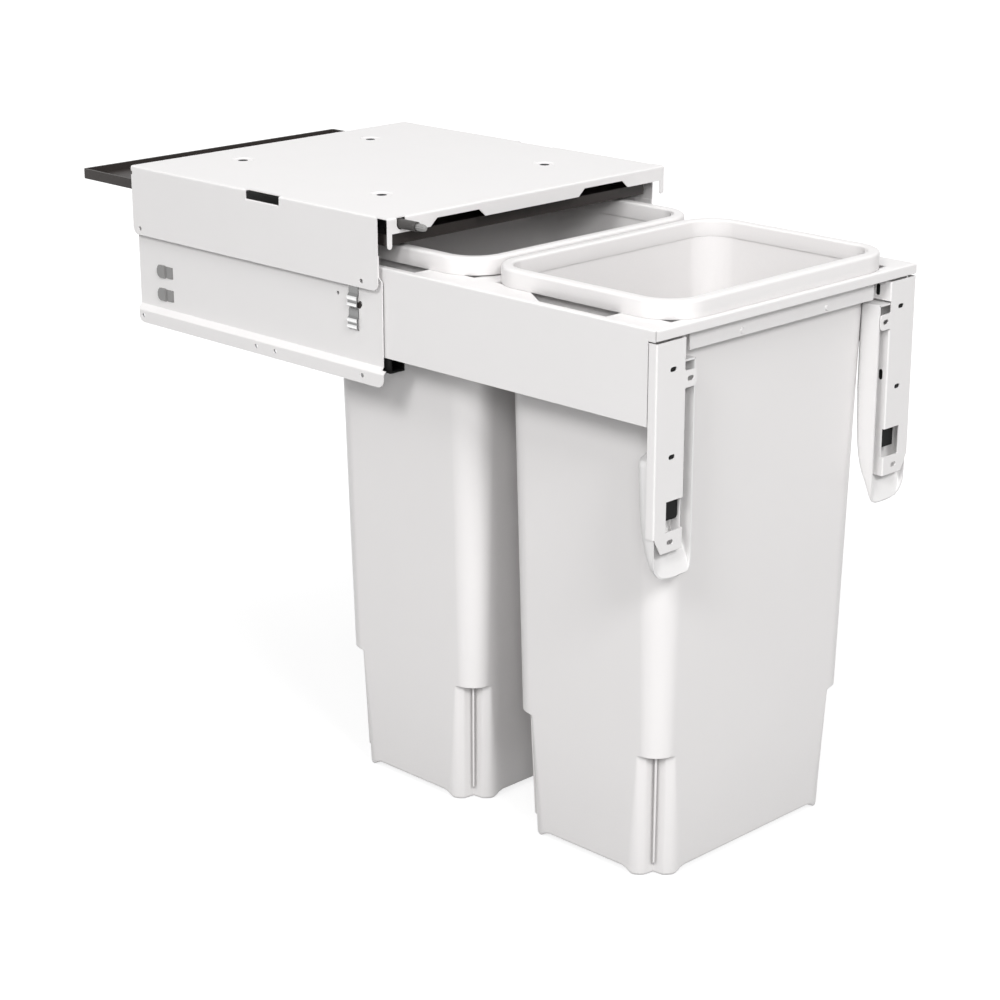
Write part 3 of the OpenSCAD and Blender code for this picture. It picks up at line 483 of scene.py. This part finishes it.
def with_flat(depth, back):
    """Adds the stretch of flat wall beside a corner."""
    flat = np.linspace(CORNER_REACH, back[0], FLAT_POINTS, endpoint=False)
    return np.column_stack([np.concatenate([np.zeros(FLAT_POINTS), depth]), np.concatenate([flat, back])])


def plain_corner(radius):
    """Half of a round corner."""
    turn = np.radians(np.linspace(0, 45, CURVE_POINTS))
    return with_flat(radius * (1 - np.cos(turn)), radius * (1 - np.sin(turn)))


def notched_corner(chamfer, hollow, rounding):
    """Half of a notched corner, from the wall to the diagonal: a chamfer with a hollow in its middle.

    Worked out in depth + back, as a function of back - depth, which is 0 on the diagonal."""
    spread = (chamfer + rounding) * (1 - np.linspace(0, 1, CURVE_POINTS) ** CURVE_POWER)
    sunk = chamfer + hollow * np.clip(1 - spread / HOLLOW_REACH, 0, 1) ** HOLLOW_POWER
    blend = np.maximum(rounding - np.abs(spread - sunk), 0) ** 2 / (4 * rounding)
    total = np.maximum(spread, sunk) + blend
    return with_flat((total - spread) / 2, (total + spread) / 2)


def loop(half_size, corner, shift=0.0):
    """The closed loop of a level, anticlockwise from above, from half of one corner."""
    w, l = half_size
    one = np.column_stack([w - corner[:, 0], l - corner[:, 1]])
    two = np.column_stack([w - corner[:-1, 1], l - corner[:-1, 0]])[::-1]
    quarter = np.vstack([one, two])
    quarters = [
        quarter,
        (quarter * (-1, 1))[::-1],
        quarter * (-1, -1),
        (quarter * (1, -1))[::-1],
    ]
    return np.vstack(quarters) + (0, shift)


def around(values):
    """Values for half a corner, repeated round a whole loop."""
    quarter = np.concatenate([values, values[:-1][::-1]])
    return np.concatenate([quarter, quarter[::-1], quarter, quarter[::-1]])


def inset(points, distance):
    """A loop moved inwards along its own normals."""
    run = np.roll(points, -1, axis=0) - np.roll(points, 1, axis=0)
    run /= np.linalg.norm(run, axis=1)[:, None]
    return points + distance * np.column_stack([-run[:, 1], run[:, 0]])


def narrowed(z):
    """Half sizes of the body at a height."""
    step = DRAW_IN * -z / BODY_H
    return BODY_HALF[0] - step, BODY_HALF[1] - step


def corner_radius(z):
    """Radius of the body's round corners at a height."""
    return CORNER_R - CORNER_R_FALL * min(1, z / CORNER_R_END)


def notched_corner_at(z):
    down = (LEDGE_Z - z) / (BODY_H + LEDGE_Z)
    return notched_corner(*[size + change * down for size, change in NOTCH])


def base_heights(z):
    """Heights of a level near the base, where the posts reach down as feet."""
    back = notched_corner_at(z)[:, 1]
    start = FOOT_WEB + (1 - FOOT_WEB) * smooth_step((back - FOOT_START) / FOOT_RISE)
    end = 1 - smooth_step((back - FOOT_END) / FOOT_FALL)
    return z - FOOT_H * around(start * end) * smooth_step((FOOT_FROM - z) / FOOT_RUN)


def body_level(z, step):
    """A level of the outside, step of the way from round to notched corners."""
    corner = plain_corner(corner_radius(z)) * (1 - step) + notched_corner_at(z) * step
    return loop(narrowed(z), corner, BODY_SHIFT)


def inner_level(z, down, wall=WALL):
    """A level of the inside, down of the way to the wider corners beside the notches."""
    w, l = narrowed(z)
    radius = (corner_radius(z) - wall) * (1 - down) + INNER_R * down
    return loop((w - wall, l - wall), plain_corner(radius), BODY_SHIFT)


def rim_level(distance):
    w, l = RIM_HALF
    return loop((w - distance, l - distance), plain_corner(RIM_CORNER - distance))


def rim_profile():
    """The rim, from the top of its skirt's inside over the edge to its band's foot: distance in, height."""
    top = RIM_H - SKIRT_T
    skirt = [(SKIRT_T, top), (SKIRT_T, 0.5), (SKIRT_T - 0.5, 0), (0.5, 0), (0.12, 0.12), (0, 0.5), (0, 8)]
    outer = arc((RIM_OUTER_R, RIM_H - RIM_OUTER_R), RIM_OUTER_R, 180, 90)
    inner = arc((RIM_BAND_IN - RIM_INNER_R, RIM_H - RIM_INNER_R), RIM_INNER_R, 90, 0)
    band = [(12.8, 8), (12.9, 1.2), (12.75, 0.6), (12.3, 0.4)]
    return skirt + outer + [(7, RIM_H)] + inner + band


def outside_levels():
    """Levels from the middle of the underside up to the rim."""
    base = body_level(-BODY_H, 1)
    low = base_heights(-BODY_H)
    raised = np.full(len(low), BASE_UP - BODY_H)
    distance, scale = BASE_INNERMOST
    levels = [(inset(base, distance) * scale, raised), (inset(base, BASE_UP_IN), raised)]
    levels += [(inset(base, distance), low + up) for distance, up in BASE_EDGE]
    levels += [(body_level(z, 1), base_heights(z)) for z in NOTCHED_Z]
    levels += [(body_level(LEDGE_Z - drop, share), LEDGE_Z - drop) for drop, share in STEP_LEVELS[::-1]]
    return levels + [(body_level(z, 0), z) for z in ROUND_Z]


def inside_levels():
    """Levels from the rim down to the middle of the bin's floor."""
    levels = [(inner_level(z, 0), z) for z in INSIDE_Z]
    for share in np.linspace(0, 1, 6):
        z = WIDEN_FROM - WIDEN_RUN * share
        levels.append((inner_level(z, smooth_step(share)), z))
    levels += [(inner_level(z, 1), z) for z in INSIDE_LOW_Z]
    for distance, z in arc((BIN_FLOOR_R, BIN_FLOOR_Z + BIN_FLOOR_R), BIN_FLOOR_R, 180, 270, 6):
        levels.append((inner_level(z, 1, WALL + distance), z))
    return levels + [(inner_level(BIN_FLOOR_Z, 1, BIN_FLOOR_IN), BIN_FLOOR_Z)]


def fin_sections():
    """Cross-sections of the fin, from its top down, in the corner where x and y are positive."""
    slant = math.sqrt(0.5)
    sections = []
    for z, front, back in FIN_SECTIONS:
        w, l = narrowed(z)
        half = [(back, FIN_HALF), (front + FIN_EDGE, FIN_HALF), (front, FIN_EDGE_HALF)]
        across = half + [(d, -s) for d, s in half[::-1]]
        sections.append([(w - d - slant * s, l - d + slant * s + BODY_SHIFT, z) for d, s in across])
    return sections


def build_bin(name, node, body):
    """The finer bin that stands for a CAD node."""
    low, high = np.array(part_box(node)) / MM
    origin = np.array([(low[0] + high[0]) / 2, (low[1] + high[1]) / 2, high[2] - RIM_H])
    bm = bmesh.new()
    rim = [(rim_level(distance), z) for distance, z in rim_profile()]
    rings = []
    for plan, z in outside_levels() + rim + inside_levels():
        level = np.column_stack([plan, np.broadcast_to(z, len(plan))])
        rings.append([bm.verts.new(point) for point in level + origin])
    join_rings(bm, rings)
    middle = np.array([0, BODY_SHIFT, 0])
    sections = np.array(fin_sections()) - middle
    for mirror in ((1, 1, 1), (-1, 1, 1), (-1, -1, 1), (1, -1, 1)):
        fin = sections * mirror + middle + origin
        join_rings(bm, [[bm.verts.new(point) for point in section] for section in fin])
    add_piece(name, bm, body, "bin_plastic", node, degrees=BIN_SHARP)


# The pieces below are in the part's frame. Those of a pair are made for the right side, and side is -1 or
# 1 to put them on the left or right.

# Door brackets: a front leaf with an outer leg, an inner flange, an ear left flat, and slots. The leaf's
# foot is cut off on a slant from the leg's foot on. Depths are measured back from the leaf's face.

LEAF_Y = -365.0
LEAF_T = 1.2
LEAF_IN, LEAF_OUT = 156.5, 198.0
LEAF_FOOT, LEAF_TOP = -270.0, -66.0
BEND = 1.6
LEG_FOOT = -254.0
LEG_DEPTH = 9.9
LEAF_CUT = 10.5
EAR_IN = 141.5
EAR_FOOT, EAR_TOP = -114.3, -98.0
EAR_R = 4.0
RELIEF_IN, RELIEF_H = 0.6, 1.2
WINDOW_OUT = 181.0
WINDOW_FOOT, WINDOW_TOP = -250.0, -220.0
BRACKET_SHARP = 28

# Tongue behind the leg, inside the drawer's side
TONGUE_X = (195.3, 196.5)
TONGUE_DEPTH = (5.9, 39.9)
TONGUE_Z = (-139, -71)

# Inner flange: foot and top of a stretch, where it starts if it isn't bent from the leaf, and its depth
FLANGE_DEPTH = 14.0
UPPER_FOOT, UPPER_DEPTH = -86.0, 26.0
FLANGES = (
    (UPPER_FOOT, LEAF_TOP, None, UPPER_DEPTH),
    (WINDOW_TOP, EAR_FOOT - RELIEF_H, None, FLANGE_DEPTH),
    (WINDOW_FOOT, WINDOW_TOP, 3.6, FLANGE_DEPTH),
    (LEAF_FOOT, WINDOW_FOOT, None, FLANGE_DEPTH),
)

# Slots, as lengths and widths, and black sheets of painted shade that make them look dark: behind the upper
# two, and over two more in the flange, given as depth, height and length
SLOT_X = 174.4
SLOT_Z = (-93.3, -177.3, -260.6)
SLOT = (9.2, 4.8)
EAR_SLOT_AT = (150, -106)
EAR_SLOT = (9, 4.8)
SLOT_SHADE = (11, 6.6)
SLOT_SHADE_T = 0.25
FLANGE_SLOTS = ((16, -76, 12), (8, -163, 11))
FLANGE_SLOT_W = 4.4
FLANGE_SLOT_SHADE_X = (LEAF_IN - 0.12, LEAF_IN + 0.4)


def leaf_outline():
    inner, outer = LEAF_IN + BEND, LEAF_OUT - BEND
    top = [(inner, UPPER_FOOT), (inner, LEAF_TOP), (outer, LEAF_TOP), (outer, LEG_FOOT)]
    foot = [(LEAF_OUT - LEAF_CUT, LEAF_FOOT), (inner, LEAF_FOOT), (inner, WINDOW_FOOT)]
    window = [(WINDOW_OUT, WINDOW_FOOT), (WINDOW_OUT, WINDOW_TOP), (inner, WINDOW_TOP)]
    ear = [(inner, EAR_FOOT - RELIEF_H), (LEAF_IN - RELIEF_IN, EAR_FOOT)]
    ear += arc((EAR_IN + EAR_R, EAR_FOOT + EAR_R), EAR_R, -90, -180)
    ear += arc((EAR_IN + EAR_R, EAR_TOP - EAR_R), EAR_R, 180, 90)
    ear += [(LEAF_IN - RELIEF_IN, EAR_TOP), (inner, EAR_TOP + RELIEF_H)]
    return top + foot + window + ear


def leg_outline():
    centre = (LEAF_OUT - BEND, LEAF_Y + BEND)
    edge = [(LEAF_OUT, LEAF_Y + LEG_DEPTH), (LEAF_OUT - LEAF_T, LEAF_Y + LEG_DEPTH)]
    return arc(centre, BEND, -90, 0) + edge + arc(centre, BEND - LEAF_T, 0, -90)


def flange_outline(start, depth):
    edge = [(LEAF_IN, LEAF_Y + depth), (LEAF_IN + LEAF_T, LEAF_Y + depth)]
    if start:
        return edge + [(LEAF_IN + LEAF_T, LEAF_Y + start), (LEAF_IN, LEAF_Y + start)]
    centre = (LEAF_IN + BEND, LEAF_Y + BEND)
    return edge + arc(centre, BEND - LEAF_T, 180, 270) + arc(centre, BEND, 270, 180)


def build_bracket(side, tag):
    bm = bmesh.new()
    holes = [obround((SLOT_X, z), *SLOT) for z in SLOT_Z] + [obround(EAR_SLOT_AT, *EAR_SLOT)]
    sheet_with_holes(bm, leaf_outline(), holes, "y", LEAF_Y, LEAF_Y + LEAF_T, side)
    prism(bm, leg_outline(), "z", LEG_FOOT, LEAF_TOP, side)
    near, far = [LEAF_Y + depth for depth in TONGUE_DEPTH]
    prism(bm, oblong((TONGUE_X[0], near), (TONGUE_X[1], far)), "z", *TONGUE_Z, side, round_off=0.3)
    for foot, top, start, depth in FLANGES:
        prism(bm, flange_outline(start, depth), "z", foot, top, side)
    name = f"door_bracket_{tag}"
    add_piece(f"{name}_plate", bm, "drawer", "white_steel", name, degrees=BRACKET_SHARP)


# Black sheets behind and over the slots: painted shade, so that the openings look dark
def build_slot_shade_sheets(side, tag):
    bm = bmesh.new()
    back = LEAF_Y + LEAF_T
    for z in SLOT_Z[:2]:
        prism(bm, obround((SLOT_X, z), *SLOT_SHADE), "y", back, back + SLOT_SHADE_T, side)
    for depth, z, length in FLANGE_SLOTS:
        outline = obround((LEAF_Y + depth, z), length, FLANGE_SLOT_W, True)
        prism(bm, outline, "x", *FLANGE_SLOT_SHADE_X, side, round_off=0.1, segments=1)
    add_piece(f"slot_shade_sheets_{tag}", bm, "drawer", "black_plastic")


# Covers behind the brackets: a boat-shaped shell, open to the front. Each level has its height, its inner
# and outer side and its back's place: a narrow upper part, a shoulder, a wide part and a keel.

COVER_MOUTH = -363.2
COVER_WALL = 1.8
COVER_LEVELS = (
    (-88.0, 143.0, 181.0, -363.2), (-88.0, 142.0, 182.0, -352.0), (-88.2, 141.4, 182.0, -339.4),
    (-90.0, 141.0, 182.5, -337.8), (-130.0, 141.0, 183.0, -337.4), (-174.0, 141.0, 183.5, -337.4),
    (-176.5, 141.0, 184.5, -337.4), (-178.5, 141.0, 189.0, -337.4), (-180.5, 141.0, 194.0, -337.6),
    (-183.5, 141.0, 196.2, -337.8), (-187.0, 141.0, 196.7, -338.0), (-214.0, 141.0, 196.7, -339.2),
    (-238.0, 141.0, 196.7, -340.8), (-250.0, 141.0, 196.7, -342.8), (-260.0, 141.0, 196.7, -345.4),
    (-268.0, 141.0, 196.6, -348.6), (-275.0, 141.0, 196.2, -352.2), (-282.0, 141.1, 195.6, -355.8),
    (-288.0, 141.5, 193.0, -358.6), (-293.0, 142.6, 188.6, -360.8), (-296.0, 145.0, 183.0, -362.2),
    (-297.6, 150.0, 175.0, -362.9), (-298.0, 156.0, 168.0, -363.2),
)
# Rounding of the back's two edges: radius, and the largest share of the depth that it takes
COVER_NEAR = (5.0, 0.45)
COVER_FAR = (11.0, 0.6)
COVER_RIB_Z = (-154.0, -208.0)
COVER_RIB_T = 1.8
COVER_RIB = ((142.4, -350.5), (157, -350.5), (157, -340.2), (146, -340.2), (142.4, -344))
COVER_SHARP = 30
WELD = 0.01


def cover_section(inner, outer, back):
    """Points of a level from the inner front edge round the back to the outer front edge."""
    deep = back - COVER_MOUTH
    near, far = [min(radius, deep * share) for radius, share in (COVER_NEAR, COVER_FAR)]
    points = [(inner, COVER_MOUTH), (inner, COVER_MOUTH + (deep - near) / 2)]
    points += arc((inner + near, back - near), near, 180, 90)
    points += [((inner + outer) / 2, back)]
    points += arc((outer - far, back - far), far, 90, 0)
    return points + [(outer, COVER_MOUTH + (deep - far) / 2), (outer, COVER_MOUTH)]


def build_cover(side, tag):
    bm = bmesh.new()
    rows = [
        [bm.verts.new((side * x, y, z)) for x, y in cover_section(inner, outer, back)]
        for z, inner, outer, back in COVER_LEVELS
    ]
    for one, two in zip(rows, rows[1:]):
        for k in range(len(one) - 1):
            bm.faces.new((one[k], one[k + 1], two[k + 1], two[k])[::side])
    bmesh.ops.remove_doubles(bm, verts=bm.verts, dist=WELD)
    bm.normal_update()
    bmesh.ops.solidify(bm, geom=bm.faces[:], thickness=COVER_WALL)
    for z in COVER_RIB_Z:
        prism(bm, COVER_RIB, "z", z, z + COVER_RIB_T, side, round_off=0.3)
    name = f"bracket_shroud_{tag}"
    add_piece(name, bm, "drawer", "white_plastic", f"bracket_cover_{tag}", degrees=COVER_SHARP)


# Adjuster blocks, behind the brackets' open windows, with one round corner

BLOCK_IN, BLOCK_OUT = 158.7, 178.5
BLOCK_FOOT, BLOCK_TOP = -241.0, -216.5
BLOCK_R = 3.0
BLOCK_DEPTH = (5.3, 13)


def build_block(side, tag):
    bm = bmesh.new()
    outline = [(BLOCK_OUT, BLOCK_FOOT), (BLOCK_OUT, BLOCK_TOP), (BLOCK_IN, BLOCK_TOP)]
    outline += arc((BLOCK_IN + BLOCK_R, BLOCK_FOOT + BLOCK_R), BLOCK_R, 180, 270)
    near, far = [LEAF_Y + depth for depth in BLOCK_DEPTH]
    prism(bm, outline, "y", near, far, side, round_off=0.5)
    add_piece(f"adjuster_{tag}", bm, "drawer", "black_plastic", f"adjuster_block_{tag}")


# Spring clips: one leaf with two pairs of crests, clipped over the side plate beside a dark hole. The
# shape is a curve through heights and distances out from the plate.

PLATE_X = 201.1
CLIP_Y = (35.0, 49.3)
CLIP_T = 0.5
CLIP_EDGE, CLIP_SINK = 0.5, 0.35
CLIP_SHARP = 50
CLIP_SHAPE = (
    (-78.0, 0.5), (-81.5, 0.7), (-85.0, 0.9), (-87.0, 1.8), (-88.7, 3.3), (-90.0, 3.7), (-91.4, 3.0),
    (-93.0, 2.2), (-94.8, 2.3), (-96.0, 3.2), (-97.2, 3.5), (-98.4, 2.6), (-99.6, 0.2), (-100.6, -0.6),
    (-102.0, 0.4), (-104.0, 0.8), (-108.0, 0.9), (-110.2, 1.4), (-111.8, 3.1), (-113.0, 3.7),
    (-114.4, 3.0), (-116.0, 2.3), (-117.6, 2.5), (-119.0, 3.5), (-120.2, 3.6), (-121.6, 2.5),
    (-122.7, 0.7), (-123.0, 0.2),
)
# A charcoal disc on the plate at the hole beside the clip: painted shade, so that the hole looks dark
CLIP_HOLE_AT = (34.6, -96.8)
CLIP_HOLE_R = 3.4
CLIP_HOLE_X = (PLATE_X - 0.3, PLATE_X + 0.15)


def curve_through(points, steps=4):
    """A smooth curve through points in a plane."""
    p = np.array(points)
    p = np.vstack([2 * p[0] - p[1], p, 2 * p[-1] - p[-2]])
    t = np.linspace(0, 1, steps, endpoint=False)[:, None]
    out = []
    for a, b, c, d in zip(p, p[1:], p[2:], p[3:]):
        square = (2 * a - 5 * b + 4 * c - d) * t**2
        cube = (3 * b - a - 3 * c + d) * t**3
        out.append(0.5 * (2 * b + (c - a) * t + square + cube))
    return np.vstack(out + [p[-2][None]])


def build_clip(side, tag):
    bm = bmesh.new()
    front = curve_through(CLIP_SHAPE)
    run = np.gradient(front, axis=0)
    run /= np.linalg.norm(run, axis=1)[:, None]
    back = front + CLIP_T * np.column_stack([run[:, 1], -run[:, 0]])
    low, high = CLIP_Y
    rows = [(low, front, CLIP_SINK), (low + CLIP_EDGE, front, 0), (high - CLIP_EDGE, front, 0),
            (high, front, CLIP_SINK), (high, back, 0), (low, back, 0)]
    rows = [
        [bm.verts.new((side * (PLATE_X + out - sunk), y, z)) for z, out in line] for y, line, sunk in rows
    ]
    join_rings(bm, list(zip(*rows)))
    name = f"plate_clip_{tag}"
    add_piece(name, bm, "cabinet_frame", "spring_steel", f"spring_clip_{tag}", degrees=CLIP_SHARP)


# Painted shade: a charcoal disc that makes the hole beside the clip look dark
def build_clip_hole_shade(side, tag):
    bm = bmesh.new()
    prism(bm, circle(CLIP_HOLE_AT, CLIP_HOLE_R), "x", *CLIP_HOLE_X, side, round_off=0.08, segments=1)
    add_piece(f"clip_hole_shade_disc_{tag}", bm, "cabinet_frame", "charcoal_plastic")


# Guide clips, in the windows at the back of the side plates: at two heights a rear pad with round corners,
# a front pad with slanted ones and a groove between them, and a sheet behind. Each starts inside the plate.

GUIDE_PADS = ((-120.0, -107.0), (-146.0, -133.0))
GUIDE_INNER_X = PLATE_X - 2.2
REAR_PAD_Y = (353.6, 367.5)
REAR_PAD_R = 5.0
REAR_PAD_OVER = 0.6
REAR_PAD_X = PLATE_X + 1.9
FRONT_PAD_Y = (341.2, 351.0)
FRONT_PAD_CUT = 1.2
FRONT_PAD_X = PLATE_X + 1.1
GROOVE_Y = (350.5, 354)
GROOVE_X = PLATE_X + 0.1
GUIDE_SHEET = ((337, -150), (371, -103))
GUIDE_SHEET_X = (PLATE_X - 2.4, PLATE_X - 1.4)


def rear_pad(low, high):
    near, far = REAR_PAD_Y
    middle = far - REAR_PAD_R
    low, high = low - REAR_PAD_OVER, high + REAR_PAD_OVER
    outline = arc((middle, high - REAR_PAD_R), REAR_PAD_R, 90, 0)
    outline += arc((middle, low + REAR_PAD_R), REAR_PAD_R, 0, -90)
    return outline + [(near, low), (near, high)]


def front_pad(low, high):
    near, far = FRONT_PAD_Y
    outline = [(far, low - 0.2), (far, high + 0.2)]
    outline += [(near + FRONT_PAD_CUT, high - 0.4), (near, high - 0.4 - FRONT_PAD_CUT)]
    return outline + [(near, low + FRONT_PAD_CUT), (near + FRONT_PAD_CUT, low)]


def build_guide(side, tag):
    bm = bmesh.new()
    for low, high in GUIDE_PADS:
        groove = oblong((GROOVE_Y[0], low), (GROOVE_Y[1], high))
        prism(bm, rear_pad(low, high), "x", GUIDE_INNER_X, REAR_PAD_X, side, round_off=0.5)
        prism(bm, front_pad(low, high), "x", GUIDE_INNER_X, FRONT_PAD_X, side, round_off=0.4)
        prism(bm, groove, "x", GUIDE_INNER_X, GROOVE_X, side)
    prism(bm, oblong(*GUIDE_SHEET), "x", *GUIDE_SHEET_X, side, round_off=0.4)
    add_piece(f"window_guide_{tag}", bm, "cabinet_frame", "grey_plastic", f"guide_clip_{tag}")


# Bumper: a smooth body with a collar, and a fluted tip. Profiles are pairs of y and radius.

BUMPER_AXIS = (-188.5, -6.8)
BUMPER_BODY = (
    (35, 4.6), (34.5, 5), (-37, 5), (-37.4, 4.7), (-38, 4.7), (-38.4, 5), (-39, 5), (-39.4, 4.6),
    (-39.4, 4.15), (-20, 4.1),
)
TIP_STEM = ((-18, 3.2), (-39.9, 3.3), (-40.6, 3.9))
TIP_Y, TIP_L, TIP_R = -40.6, 11.1, 4
TIP_POWER = 0.35
TIP_TURNS = np.linspace(0.25, 1.5, 10)
TIP_POINTS = 60
TIP_FLUTES, TIP_CUT = 10, 0.6


def build_bumper():
    bm = bmesh.new()
    lathe(bm, BUMPER_BODY, BUMPER_AXIS)
    add_piece("bumper_body", bm, "cabinet_frame", "dark_grey_plastic", "bumper_housing")
    bm = bmesh.new()
    dome = [(TIP_Y - TIP_L * math.sin(t), TIP_R * math.cos(t) ** TIP_POWER) for t in TIP_TURNS]
    lathe(bm, [*TIP_STEM, *dome], BUMPER_AXIS, TIP_POINTS, TIP_FLUTES, TIP_CUT)
    add_piece("bumper_tip", bm, "bumper_plunger", "grey_plastic", "bumper_plunger")


# Hood: a black disc in each of its four holes, painted shade that makes the hole look dark inside; its
# profile as pairs of radius and height

HOOD_HOLES = ((-96, 342), (96, 342), (-122, 85), (122, 85))
HOLE_SHADE_PROFILE = ((5.6, -7.2), (5.7, -1.9), (5.5, -1.15), (5.3, -1.1), (5.1, -1.2), (4.6, -1.5))
HOLE_SHADE_SHARP = 40


# Black discs in the holes: painted shade
def build_hole_shade_discs():
    bm = bmesh.new()
    for centre in HOOD_HOLES:
        rings = [[bm.verts.new((x, y, z)) for x, y in circle(centre, radius)] for radius, z in HOLE_SHADE_PROFILE]
        join_rings(bm, rings)
    add_piece("hood_hole_shade_discs", bm, "cabinet_frame", "black_plastic", degrees=HOLE_SHADE_SHARP)


build_bin("front_bin_shell", "front_bin", "drawer")
build_bin("rear_bin_shell", "rear_bin", "drawer")
for side, tag in ((-1, "left"), (1, "right")):
    build_bracket(side, tag)
    build_slot_shade_sheets(side, tag)
    build_cover(side, tag)
    build_block(side, tag)
    build_clip_hole_shade(side, tag)
    build_clip(side, tag)
    build_guide(side, tag)
build_bumper()
build_hole_shade_discs()

make_camera()
make_world()
make_floor()
for name, settings in SOFTBOXES.items():
    make_softbox(name, *settings)

scene = bpy.context.scene
scene.view_settings.view_transform = "Standard"
